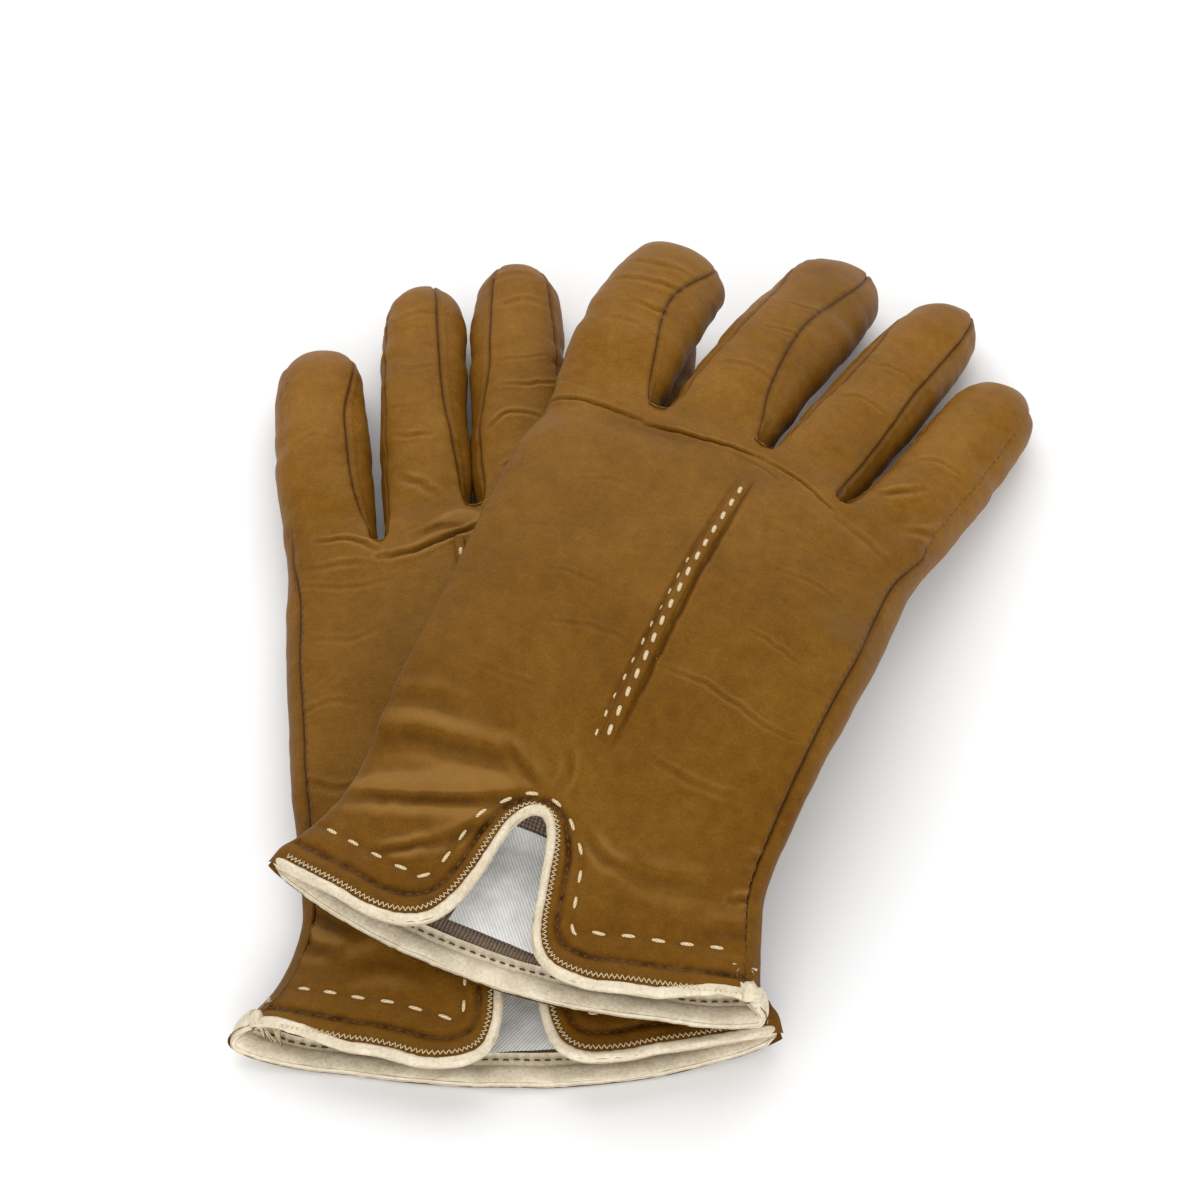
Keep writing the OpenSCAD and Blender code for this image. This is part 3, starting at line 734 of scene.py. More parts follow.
# Creases of the backs: points (x, y), width, depth (raised where negative) and lip
CREASES = {
    RIGHT: [
        # the knuckle crease, sharp within a wider dip
        ([(-49, 125.2), (-39, 126.5), (-30, 125.4), (-23, 124.6)], 0.40, 0.70, 0.25),
        ([(-25, 124.2), (-13, 125.6), (-5, 126.6), (2, 127.2)], 0.42, 1.0, 0.25),
        ([(-38, 124.2), (-20, 123.0), (-4, 124.8)], 2.4, 0.35, 0.2),
        ([(1, 127), (9, 126.2), (16, 123.4), (21.5, 121)], 0.38, 0.55, 0.3),
        ([(-6, 124.5), (3, 124.2), (9, 122)], 0.38, 0.26, 0.4),
        ([(22, 119.6), (29, 118.6), (36, 116)], 0.7, 0.30, 0.4),
        # folds from the slit's top to the thumb side
        ([(-47, 17), (-31, 20.6), (-19, 24.6), (-12, 27)], 1.3, 0.75, 0.55),
        ([(-45, 20.5), (-30, 24.2), (-17, 28.6)], 2.4, -0.55, 0.1),
        ([(-34, 7.4), (-29.5, 9.6), (-24, 13)], 0.8, 0.65, 0.5),
        ([(-25, 12.4), (-19, 17.2), (-14.6, 21.6)], 1.2, 0.45, 0.5),
        ([(-46, 29.2), (-36, 32), (-25, 32.6), (-15, 33.8)], 1.9, 0.50, 0.5),
        ([(-47, 38), (-38, 40.4), (-30, 40)], 1.6, 0.30, 0.4),
        ([(-8, 30.8), (-14, 33.4), (-19.5, 37)], 0.8, 0.35, 0.5),
        ([(-6, 31), (-5, 36), (-7, 41)], 0.7, 0.25, 0.5),
        ([(2, 26), (8, 22.4), (14, 21.4)], 0.9, 0.40, 0.5),
        ([(14, 21.6), (22, 22.6), (29, 25.6)], 1.6, 0.30, 0.4),
        ([(33.5, 24.6), (37.5, 27.8), (43, 31)], 0.6, 0.60, 0.5),
        ([(32, 34), (37, 36), (42, 38)], 0.8, 0.30, 0.5),
        ([(30, 15), (37, 19), (44, 21)], 1.6, 0.35, 0.4),
        # fine creases across the back
        ([(3, 63.8), (12.3, 64), (20.6, 62.2), (29, 60.5), (34, 61.8)], 0.40, 0.30, 0.6),
        ([(15.9, 79), (21.9, 78.5), (29.2, 77)], 0.40, 0.24, 0.6),
        ([(-29.5, 77), (-20.8, 77.8), (-12.5, 76.4)], 0.38, 0.20, 0.6),
        ([(-24, 64.5), (-14.7, 67.2), (-4.2, 66.8)], 0.40, 0.20, 0.6),
        ([(-36, 52), (-26, 50.5), (-15, 51.5)], 0.42, 0.16, 0.6),
        ([(14, 96), (24, 98), (33, 96)], 0.45, 0.16, 0.6),
        ([(-33, 101), (-25, 104), (-15, 103)], 0.45, 0.14, 0.6),
        ([(8, 45), (19, 43.4), (30, 45)], 0.55, 0.20, 0.6),
        # fingers
        ([(-48, 163.2), (-40.8, 165.6), (-34, 168.4), (-29.6, 171.3)], 0.7, 0.30, 0.6),
        ([(-41, 156.6), (-35.4, 157.6), (-31.6, 160.3)], 0.6, 0.30, 0.6),
        ([(-47, 171), (-40, 173.4), (-33, 175)], 0.7, 0.22, 0.6),
        ([(-46, 149), (-38, 150.4), (-31, 149)], 0.6, 0.16, 0.6),
        ([(-14, 168), (-9, 170.6), (-3, 172)], 0.5, 0.22, 0.6),
        ([(-13, 181), (-8, 182.4), (-4, 184)], 0.45, 0.26, 0.6),
        ([(-18, 150), (-11, 152.6), (-4, 152)], 0.6, 0.20, 0.6),
        ([(9, 158), (14, 160.6), (20, 160)], 0.5, 0.24, 0.6),
        ([(12, 174), (17, 176), (22, 175.4)], 0.5, 0.22, 0.6),
        ([(27, 134.7), (30.7, 138.1), (35.2, 142)], 0.6, 0.45, 0.6),
        ([(30, 150), (36, 153), (42, 152)], 0.5, 0.24, 0.6),
        ([(35, 128), (40, 131), (43, 136)], 0.7, 0.30, 0.6),
    ],
    LEFT: [
        ([(20, 114.6), (15.3, 114.8), (9.5, 116.2), (2.7, 119.4), (-5, 122.4)], 0.6, 0.95, 0.5),
        ([(6, 124.6), (0, 125), (-5, 123.8)], 1.6, -0.50, 0.2),
        ([(12, 119.4), (6, 122), (1, 122)], 0.7, 0.35, 0.5),
        ([(34, 122.4), (26.8, 121.4), (19.8, 116.6)], 0.5, 0.50, 0.6),
        ([(36, 115), (28, 114.6), (21, 112.6)], 0.6, 0.26, 0.6),
        ([(38, 111.4), (27.2, 107.8), (17.6, 108)], 0.45, 0.26, 0.6),
        ([(36, 96), (27, 93), (20, 95)], 0.5, 0.20, 0.6),
        ([(40, 76), (31, 78), (24, 75)], 0.5, 0.20, 0.6),
        ([(38, 60), (30, 56), (22, 57)], 0.7, 0.24, 0.5),
        ([(43, 34), (34, 27), (27, 22)], 1.6, 0.60, 0.5),
        ([(44, 28), (37, 22), (31, 18.4)], 1.2, 0.45, 0.5),
        ([(42, 44), (33, 40), (25, 41)], 1.8, 0.40, 0.5),
        ([(30, 14), (22, 15), (14, 12)], 1.8, 0.35, 0.4),
        ([(14.5, 138.4), (9, 135.2), (5.4, 131.9)], 0.7, 0.45, 0.6),
        ([(15.6, 151.8), (11.4, 149.9), (6, 149)], 0.45, 0.40, 0.6),
        ([(16.3, 160.6), (10.6, 158.5)], 0.4, 0.20, 0.6),
        ([(13, 172), (8, 171), (3, 172.4)], 0.5, 0.18, 0.6),
        ([(13, 188), (8, 190), (3, 190)], 0.6, 0.22, 0.6),
        ([(-10, 163.6), (-17, 163), (-24, 164.7)], 0.42, 0.34, 0.8),
        ([(-7, 151), (-11.2, 154.1), (-15.2, 154.4), (-21, 152.1)], 0.45, 0.42, 0.8),
        ([(-10, 172), (-16, 171.4), (-22, 172.6)], 0.40, 0.20, 0.8),
        ([(-8.6, 138.4), (-12.1, 139.9), (-17, 139)], 0.5, 0.35, 0.6),
        ([(-10, 190), (-17, 191.6), (-23, 190.4)], 0.7, 0.22, 0.6),
        ([(-9, 200), (-16, 201.6), (-23, 200)], 0.7, 0.22, 0.6),
        ([(28, 150), (33, 152), (38, 150)], 0.5, 0.16, 0.6),
    ],
}


# ---------------------------------------------------------------- small parts

class Bits:
    """Small tubes and stitches gathered into one mesh, in the glove's own frame."""

    def __init__(self):
        self.v, self.f, self.rest = [], [], []

    def tube(self, c, radii, up, sides, flat=1.0, closed=False, rough=None):
        """A tube along points c; flat squashes it along up, and rough adds to its radius."""
        n = len(c)
        t = np.roll(c, -1, 0) - np.roll(c, 1, 0) if closed else np.gradient(c, axis=0)
        t = unit(t, 1e-9)
        side = unit(np.cross(t, np.broadcast_to(np.asarray(up, float), c.shape)), 1e-9)
        up = np.cross(side, t)
        radii = np.broadcast_to(np.asarray(radii, float), (n,))
        th = np.linspace(0, 2 * np.pi, sides, endpoint=False)
        s = distances(c)
        r = radii[:, None] * np.ones(sides)[None]
        if rough is not None:
            r = r + rough(s[:, None], th[None])
        flat = np.broadcast_to(np.asarray(flat, float), (n,))[:, None, None]
        ring = c[:, None] + r[..., None] * (np.cos(th)[None, :, None] * side[:, None]
                                            + flat * np.sin(th)[None, :, None] * up[:, None])
        k = len(self.rest)
        self.v += ring.reshape(-1, 3).tolist()
        self.rest += np.stack([s[:, None] + 0 * th, radii[:, None] * (th + 1.0), 0 * r], -1).reshape(-1, 3).tolist()
        m = n if closed else n - 1
        for i in range(m):
            j = (i + 1) % n
            for a in range(sides):
                b = (a + 1) % sides
                self.f.append([k + i * sides + a, k + j * sides + a, k + j * sides + b, k + i * sides + b])
        if not closed:
            self.f.append([k + a for a in range(sides)])
            self.f.append([k + (n - 1) * sides + a for a in range(sides)][::-1])

    def stitches(self, line, normals, length, pitch, radius, rise, seed, skew=0.0):
        """Short stitches along a line on a surface; each end goes down through it."""
        s = distances(line)
        at, k = 0.3 * pitch, 0
        while at + length < s[-1]:
            w = noise(np.array([[k * 1.7 + 0.5, 0.5, seed + 0.5]]), seed)[0]
            u = np.linspace(0, 1, 8)
            q = at + w * 0.12 * length + u * length * (1 + 0.08 * w)
            c = read_at(q, s, line)
            nn = unit(read_at(q, s, normals))
            arch = np.sin(np.pi * np.clip(u, 0, 1))
            across = unit(np.cross(np.gradient(c, axis=0), nn))
            c = c + nn * (rise * arch ** 0.7 - 0.25)[:, None] + across * ((u - 0.5) * skew * length + 0.12 * w)[:, None]
            self.tube(c, radius * (0.6 + 0.4 * arch ** 0.6), nn, sides=8, flat=0.72)
            at += pitch
            k += 1

    def build(self, g, name, material):
        return put(g, name, np.array(self.v), self.f, material, dict(rest=np.array(self.rest)))


def drape(tree, xy):
    """Points on the back under (x, y), and the normals there."""
    p, n = [], []
    for x, y in xy:
        hit, normal, _, _ = tree.ray_cast(Vector((x, y, 90)), Vector((0, 0, -1)))
        if hit is None:
            hit, normal, _, _ = tree.find_nearest(Vector((x, y, 12)))
        p.append(hit[:])
        n.append(normal[:])
    n = np.array(n)
    n[n[:, 2] < 0] *= -1
    for _ in range(3):
        n[1:-1] = n[:-2] + 2 * n[1:-1] + n[2:]
        n = unit(n)
    return np.array(p), n


def column_line(cloth, k, inward):
    """A line beside the last column of a grid, at a distance in from its edge."""
    ids = cloth.ids[k]
    p = cloth.points[ids]
    e = arc_from(p, 1)
    e = e[:, -1:] - e
    out, nn = [], []
    for i in range(len(p)):
        o = np.argsort(e[i])
        out.append([np.interp(inward, e[i][o], p[i][o, j]) for j in range(3)])
        j = int(np.argmin(np.abs(e[i] - inward)))
        nn.append(cloth.nrm[ids[i, j]])
    return np.array(out), np.array(nn)


def offset_shell(cloth, grids, first, inset, step, keep):
    """Points, faces and cloth point numbers of a welded skin inside the leather's grids, from each one's first row.

    keep(grid, row, place across, point) says which of its cells stay."""
    number, faces = {}, []
    for k in grids:
        ids = cloth.ids[k]
        rows, cols = (sorted({*range(lo, n, step), n - 1}) for lo, n in zip((first.get(k, 0), 0), ids.shape))
        flip = bool(cloth.grids[k]["fields"].get("flip"))
        for i0, i1 in zip(rows[:-1], rows[1:]):
            for c0, c1 in zip(cols[:-1], cols[1:]):
                if not keep(k, i0, (c0 + c1) / 2 / ids.shape[1], ids[i0, c0]):
                    continue
                q = [number.setdefault(v, len(number)) for v in (ids[i0, c0], ids[i0, c1], ids[i1, c1], ids[i1, c0])]
                if len(set(q)) >= 3:
                    faces.append(q if flip else q[::-1])
    used = np.array(list(number))
    return cloth.points[used] - cloth.nrm[used] * inset[used][:, None], faces, used


# ---------------------------------------------------------------- materials

class Material:
    """A node material whose textures follow the points the pieces were cut at (the "rest" attribute, in mm)."""

    def __init__(self, name, roughness, specular=0.5, tint=None, sheen=0.0):
        self.m = bpy.data.materials.new(name)
        self.m.use_nodes = True
        self.t = self.m.node_tree
        self.b = self.t.nodes["Principled BSDF"]
        self.b.inputs["Roughness"].default_value = roughness
        self.b.inputs["Specular IOR Level"].default_value = specular
        if tint:
            self.b.inputs["Specular Tint"].default_value = (*tint, 1)
        if sheen:
            self.b.inputs["Sheen Weight"].default_value = sheen
            self.b.inputs["Sheen Roughness"].default_value = 0.5
        self.rest = self.attribute("rest", "Vector")
        self.height = None

    def put(self, key, value):
        if isinstance(value, bpy.types.NodeSocket):
            self.t.links.new(value, key)
        else:
            key.default_value = value

    def node(self, kind, **inputs):
        n = self.t.nodes.new("ShaderNode" + kind)
        for key, value in inputs.items():
            self.put(n.inputs[key], value)
        return n

    def attribute(self, name, out="Fac"):
        n = self.node("Attribute")
        n.attribute_name = name
        return n.outputs[out]

    def math(self, op, a, b):
        n = self.node("Math")
        n.operation = op
        self.put(n.inputs[0], a)
        self.put(n.inputs[1], b)
        return n.outputs[0]

    def ranged(self, v, a, b, c=0, d=1):
        n = self.node("MapRange")
        for i, x in enumerate((v, a, b, c, d)):
            self.put(n.inputs[i], x)
        return n.outputs[0]

    def noise(self, scale, detail, rough, distort=0.0, vector=None):
        return self.node("TexNoise", Vector=vector or self.rest, Scale=scale, Detail=detail,
                         Roughness=rough, Distortion=distort).outputs["Fac"]

    def cells(self, scale, feature="F1"):
        n = self.node("TexVoronoi")
        n.feature = feature
        self.put(n.inputs["Vector"], self.rest)
        self.put(n.inputs["Scale"], scale)
        return n.outputs["Distance"]

    def wave(self, scale, direction, distort):
        n = self.node("TexWave", Vector=self.rest, Scale=scale, Distortion=distort)
        n.bands_direction = direction
        return n.outputs["Fac"]

    def ramp(self, v, *stops):
        n = self.node("ValToRGB", Fac=v)
        e = n.color_ramp.elements
        while len(e) < len(stops):
            e.new(0.5)
        for el, (at, colour) in zip(e, stops):
            el.position, el.color = at, (*colour, 1)
        return n.outputs[0]

    def blend(self, how, fac, a, b):
        n = self.node("Mix")
        n.data_type, n.blend_type = "RGBA", how
        self.put(n.inputs[0], fac)
        self.put(n.inputs[6], a)
        self.put(n.inputs[7], b)
        return n.outputs[2]

    def tinted(self, c, v, *stops):
        return self.blend("MULTIPLY", 1.0, c, self.ramp(v, *stops))

    def bump(self, height, mm, strength=1.0):
        n = self.node("Bump", Height=height, Distance=mm * MM, Strength=strength)
        if self.height is not None:
            self.t.links.new(self.height, n.inputs["Normal"])
        self.height = n.outputs[0]

    def done(self, colour, rough=None):
        self.put(self.b.inputs["Base Color"], colour)
        if rough is not None:
            self.put(self.b.inputs["Roughness"], rough)
        if self.height is not None:
            self.t.links.new(self.height, self.b.inputs["Normal"])
        return self.m


def tan_leather():
    m = Material("tan_leather", 0.42, 0.13, (1.0, 0.78, 0.42))
    broad, mid, fine = m.noise(0.045, 4, 0.55), m.noise(0.35, 4, 0.6), m.noise(2.4, 3, 0.6)
    pores = m.cells(2.1)
    c = m.ramp(m.math("ADD", m.math("MULTIPLY", broad, 0.55), m.math("MULTIPLY", mid, 0.45)),
               (0.34, (0.120, 0.047, 0.0030)), (0.50, (0.152, 0.063, 0.0050)), (0.66, (0.185, 0.082, 0.0090)))
    c = m.tinted(c, fine, (0.3, (0.80, 0.80, 0.80)), (0.7, (1.14, 1.14, 1.14)))
    c = m.tinted(c, m.ranged(pores, 0.0, 0.5), (0.0, (0.86, 0.84, 0.80)), (0.6, (1, 1, 1)))
    # the seam's own dark joint line, and painted shade in the groove beside it
    c = m.tinted(c, m.ranged(m.attribute("seam"), 0.0, 1.5),
                 (0.0, (0.26, 0.20, 0.16)), (0.28, (0.80, 0.77, 0.74)), (0.8, (1, 1, 1)))
    # painted light and shade: darker and redder by the cuff, paler and bluer towards the fingertips, where the light
    # falls brighter and shows a sheen
    along = m.node("SeparateXYZ", Vector=m.rest).outputs["Y"]
    c = m.tinted(c, m.ranged(along, 0, 170), (0.0, (0.86, 0.83, 0.70)), (0.35, (0.96, 0.94, 0.86)),
                 (0.62, (1.12, 1.13, 1.2)), (0.95, (1.34, 1.36, 1.5)))
    # painted shade: darker in creases and along the stitched cuff lines, the deeper they are pressed
    fold = m.attribute("fold")
    c = m.tinted(c, m.ranged(fold, 0.05, 0.95), (0.0, (1, 1, 1)), (0.45, (0.74, 0.70, 0.66)), (1.0, (0.28, 0.21, 0.16)))
    # painted highlight: lighter along raised folds, where fold is below zero
    c = m.blend("MIX", m.ranged(fold, -0.02, -0.30, 0, 0.35), c, (0.40, 0.21, 0.06, 1))
    c = m.blend("MIX", m.math("MULTIPLY", m.attribute("worn"), m.ranged(m.noise(0.5, 4, 0.65), 0.3, 0.7, 0.35, 1)), c,
                (0.125, 0.066, 0.022, 1))
    m.bump(m.noise(0.9, 4, 0.6, 0.6), 0.16)
    m.bump(m.ranged(m.cells(0.55, "DISTANCE_TO_EDGE"), 0.0, 0.12), 0.018, 0.6)
    m.bump(pores, 0.055)
    m.bump(fine, 0.05)
    return m.done(c, m.ranged(m.math("ADD", mid, m.math("MULTIPLY", fine, 0.4)), 0.4, 1.0, 0.38, 0.58))


def cream_leather():
    m = Material("cream_leather", 0.30, 0.55, (1.0, 0.96, 0.88))
    c = m.ramp(m.noise(0.22, 4, 0.6), (0.35, (0.59, 0.50, 0.36)), (0.65, (0.71, 0.63, 0.48)))
    c = m.tinted(c, m.noise(1.3, 3, 0.6), (0.34, (0.88, 0.85, 0.80)), (0.6, (1.04, 1.04, 1.04)))
    drawn = m.node("Mapping", Vector=m.rest, Scale=(1.5, 0.45, 0.45)).outputs[0]
    m.bump(m.noise(1.0, 3, 0.6, 0.4, drawn), 0.16)
    m.bump(m.cells(2.6), 0.05)
    return m.done(c, m.ranged(m.noise(0.7, 3, 0.6), 0.3, 0.7, 0.24, 0.38))


def knit():
    m = Material("knit_lining", 0.85, 0.2, None, 0.25)
    rib = m.wave(0.42, "X", 1.2)
    loops = m.wave(0.62, "Y", 2.2)
    both = m.math("ADD", m.math("MULTIPLY", rib, 0.6), m.math("MULTIPLY", loops, 0.4))
    c = m.ramp(both, (0.15, (0.11, 0.070, 0.042)), (0.85, (0.33, 0.235, 0.16)))
    c = m.tinted(c, m.noise(1.4, 4, 0.7), (0.3, (0.72, 0.72, 0.72)), (0.7, (1.2, 1.2, 1.2)))
    m.bump(both, 0.35)
    m.bump(m.noise(5.0, 3, 0.7), 0.12)
    return m.done(c)


def satin():
    m = Material("label_satin", 0.38, 0.5, None, 0.15)
    rib = m.wave(0.75, "DIAGONAL", 0.15)
    c = m.ramp(rib, (0.2, (0.68, 0.68, 0.66)), (0.8, (0.86, 0.86, 0.84)))
    c = m.tinted(c, m.noise(0.25, 3, 0.5), (0.3, (0.86, 0.85, 0.82)), (0.7, (1.05, 1.05, 1.05)))
    m.bump(rib, 0.08)
    m.bump(m.noise(0.5, 3, 0.5), 0.25)
    return m.done(c, m.ranged(rib, 0, 1, 0.46, 0.30))


def thread(name, dark, light):
    m = Material(name, 0.55, 0.4)
    twist = m.wave(0.9, "DIAGONAL", 0.6)
    c = m.ramp(twist, (0.1, dark), (0.75, light))
    c = m.tinted(c, m.noise(0.8, 3, 0.6), (0.3, (0.80, 0.78, 0.74)), (0.7, (1.05, 1.05, 1.05)))
    m.bump(twist, 0.10)
    return m.done(c, m.ranged(m.noise(3.0, 2, 0.5), 0.3, 0.7, 0.45, 0.65))


def floor_material():
    m = Material("floor", 0.8, 0.1)
    pos = m.t.nodes.new("ShaderNodeNewGeometry").outputs["Position"]
    c = m.ramp(m.noise(3.0, 2, 0.5, 0.0, pos), (0.3, (0.885, 0.885, 0.885)), (0.7, (0.90, 0.90, 0.90)))
    return m.done(c)


LEATHER, CREAM, KNIT, SATIN = tan_leather(), cream_leather(), knit(), satin()
THREAD = thread("thread_cream", (0.50, 0.38, 0.20), (0.80, 0.66, 0.42))
BROWN = thread("thread_brown", (0.060, 0.024, 0.006), (0.13, 0.056, 0.014))

JOINT = {j["name"]: j for j in frame["joints"]}


def finger_span(g, name):
    """Where a finger's bend starts and ends, in metres."""
    hinge = Vector(JOINT[f"{SIDE[g]}_{name}_bend"]["pos_m"])
    f = HAND[g][name]
    d = place(g, np.array([*f["tip"], 9.0])) - place(g, np.array([*f["foot"], 9.0]))
    d[2] = 0
    d = Vector((d / np.linalg.norm(d)).tolist())
    return tuple(hinge + 0.001 * d), tuple(hinge + 0.019 * d)


def goes_with(g, piece, owner, slot, *nodes):
    """Hangs a piece on the body it moves with, or bakes a finger piece's placement into its points, and hides the CAD
    nodes it stands for; slot is not used.
    """
    if owner in FINGERS:
        a, b = finger_span(g, owner)
        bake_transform(piece)
    else:
        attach(piece, f"{SIDE[g]}_{owner}")
    if nodes:
        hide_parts(*(f"{SIDE[g]}_{n}" for n in nodes))


def worn_map(g, p):
    """Where the leather is greyed with wear."""
    if g == LEFT:
        return 0.0 * p[:, 0]
    d = lambda x, y, rx, ry: np.exp(-((p[:, 0] - x) / rx) ** 2 - ((p[:, 1] - y) / ry) ** 2)
    return 0.60 * d(-7, 190, 10, 14) + 0.75 * d(34, 92, 6, 4.5) + 0.25 * d(-44, 188, 9, 10)


# ---------------------------------------------------------------- one glove

def thumb_mesh(g, inset, n_rows, n_cols):
    """The thumb's stall, closed at both ends, folded under the palm."""
    half_width, half_height, long, end_share = 11.5, 4.5, 75, 0.17
    t = np.linspace(0, 1, n_rows)[:, None]
    t = mix(t, 0.5 - 0.5 * np.cos(np.pi * t), 0.85)
    a = np.linspace(0, 2 * np.pi, n_cols, endpoint=False)[None]
    end = np.clip(1 - np.minimum(t, 1 - t) / end_share, 0, 1)
    full = np.sqrt(np.clip(1 - end ** 2, 0, 1))
    y = -13 + inset + t * (long - 2 * inset)
    x = (half_width - inset) * full * power(np.cos(a), 0.8)
    z = half_height + (half_height - inset) * full * power(np.sin(a), 0.8)
    seam = np.minimum(np.abs(np.cos(a) - 0.96) * 14, np.abs(np.cos(a) + 0.96) * 14) + 0 * t
    x, y = turned(x, y + 0 * a, -11.0)
    p = np.stack([x - 30, y + 52, z], -1)
    rest = p.copy()
    if inset == 0:
        push = -0.5 * np.exp(-(seam / 0.9) ** 2) + 0.35 * noise(rest / 9, 61 + g) + 0.15 * noise(rest / 4, 62 + g)
        p = p + unit(p - p.mean(axis=1, keepdims=True), 1e-6) * (push * full)[..., None]
        p[..., 2] = np.clip(p[..., 2], 0.1, 9.4)
    n = np.arange(n_rows * n_cols).reshape(n_rows, n_cols)
    m = np.roll(n, -1, 1)
    faces = np.stack([n[:-1], n[1:], m[1:], m[:-1]], -1).reshape(-1, 4)
    return p.reshape(-1, 3), faces, rest.reshape(-1, 3), seam.reshape(-1)


def make_leather(g, cloth):
    side, placed = SIDE[g], place(g, cloth.points)
    quads = cloth.quads[:, ::-1] if g == LEFT else cloth.quads
    shade = cloth.normals(placed, quads)
    worn = worn_map(g, cloth.rest)
    for owner in ("hand",) + FINGERS:
        q = quads[cloth.owners == owner]
        used, local = np.unique(q, return_inverse=True)
        piece = make_object(f"{side}_{owner}_leather", placed[used], local.reshape(q.shape), LEATHER,
                            dict(rest=cloth.rest[used], seam=cloth.seam[used], fold=cloth.fold[used],
                                 worn=worn[used]), shade[used])
        nodes = ("back_panel", "palm_panel") if owner == "hand" else \
            (f"{owner}_{part}" for part in ("back", "front", "sides"))
        goes_with(g, piece, owner, "tan_leather", *nodes)


def make_linings(g, cloth):
    """A knitted skin inside the hand, and one inside each finger."""
    in_hand, in_fingers, from_slit, past_crotch = 2.1, 1.5, 4.2, 16
    depth = np.where(cloth.rest[:, 1] > 112, in_fingers, in_hand)
    edge, _ = near_line(cloth.rest, hem_path(g, False)[::3])
    clear_of_slit = lambda k, row, across, v: k == 1 or edge[v] > from_slit

    def clear_of_crotch(k, row, across, v):
        if cloth.grids[k]["kind"] == "side":
            return row > past_crotch
        return row > CROTCH_ROW + past_crotch - 1 or lo <= across <= hi

    owners = [grid["owner"] for grid in cloth.grids]
    for owner in ("hand",) + FINGERS:
        mine = [k for k, o in enumerate(owners) if o == owner]
        lo, hi = (0.0 if owner == "index" else 0.22), (1.0 if owner == "little" else 0.78)
        if owner == "hand":
            pts, faces, ids = offset_shell(cloth, mine, {0: 10, 1: 11}, depth, 2, clear_of_slit)
        else:
            pts, faces, ids = offset_shell(cloth, mine, {}, depth, 3, clear_of_crotch)
        piece = put(g, f"{SIDE[g]}_{owner}_knit", pts, faces, KNIT, dict(rest=cloth.rest[ids]))
        goes_with(g, piece, owner, "knit_lining", f"{owner}_lining")


def cuff_ring(cloth, row):
    """Cloth points round the cuff, along a row of the back and then of the palm."""
    back, front = cloth.ids[0], cloth.ids[1]
    return np.concatenate([back[row], front[row][::-1][1:-1]])


def make_binding(g, cloth):
    """The rolled cream binding round hem and slit: narrow on the back, wide and flatter on the palm."""
    ids = cuff_ring(cloth, 0)
    e, nn = cloth.points[ids], cloth.nrm[ids]
    keep = np.concatenate([[True], np.linalg.norm(np.diff(e, axis=0), axis=1) > 0.05])
    e, nn = e[keep], nn[keep]
    on_back = (np.arange(len(ids)) < cloth.ids[0].shape[1])[keep].astype(float)[:, None]
    for _ in range(6):
        nn = unit(eased(nn))
    into = np.cross(nn, unit(np.roll(e, -1, 0) - np.roll(e, 1, 0)))
    s = distances(e)
    even = np.arange(0, s[-1], 0.42)
    e, nn, into, on_back = (read_at(even, s, v) for v in (e, nn, into, on_back))
    wide = 1 - on_back[:, 0]
    for _ in range(60):
        wide = eased(wide)
    on_edge, on_palm, at_sides = 1.12, 2.3, 0.95            # the roll's radius along the back, the palm and the sides
    centre = e + into * mix(0.85, 2.0, wide)[:, None] - nn * mix(0.65, 1.0, wide)[:, None]
    end = smooth((np.abs(centre[:, 0]) - 47.5) / 3.5)      # 1 at the hand's two sides, smoothed the most
    for _ in range(34):
        nn = mix(nn, eased(nn), mix(0.05, 1.0, end)[:, None])
        centre = mix(centre, eased(centre), mix(0.12, 1.0, end)[:, None])
    centre[:, 2] = np.maximum(centre[:, 2], 1.3)

    def rough(s, th):
        ring = lambda scale, long: np.stack([s / long + 0 * th, 0 * s + scale * np.cos(th),
                                             0 * s + scale * np.sin(th)], -1)
        return 0.10 * noise(ring(1, 1.1), 71) + 0.12 * noise(ring(2, 5), 72)

    bits = Bits()
    bits.tube(centre, mix(mix(on_edge, on_palm, wide), at_sides, end), nn, sides=28,
              flat=mix(mix(1.0, 0.6, wide), 1.0, end), closed=True, rough=rough)
    goes_with(g, bits.build(g, f"{SIDE[g]}_cuff_binding_roll", CREAM), "hand", "cream_leather", "cuff_binding")


def make_facing(g, cloth):
    """The cream band inside the cuff, with its inner edge turned away from the lining."""
    rows, ring = 12, []
    for r in range(rows + 1):
        u = min(r, rows - 1) / (rows - 1)
        depth = 1.9 - 0.3 * math.sin(math.pi * u) - (0.5 if r in (rows - 1, rows - 2) else 0)
        ids = cuff_ring(cloth, min(r, rows - 1))
        ring.append(cloth.points[ids] - cloth.nrm[ids] * (2.6 if r == rows else depth))
    cols = len(ring[0])
    around = distances(ring[0])
    rest = np.concatenate([np.stack([around, np.full(cols, r * 0.58), np.zeros(cols)], 1) for r in range(rows + 1)])
    n = np.arange((rows + 1) * cols).reshape(-1, cols)
    m = np.roll(n, -1, 1)
    faces = np.stack([n[:-1], n[1:], m[1:], m[:-1]], -1).reshape(-1, 4)
    piece = put(g, f"{SIDE[g]}_cuff_band", np.concatenate(ring), faces, CREAM, dict(rest=rest))
    goes_with(g, piece, "hand", "cream_leather", "cuff_facing")


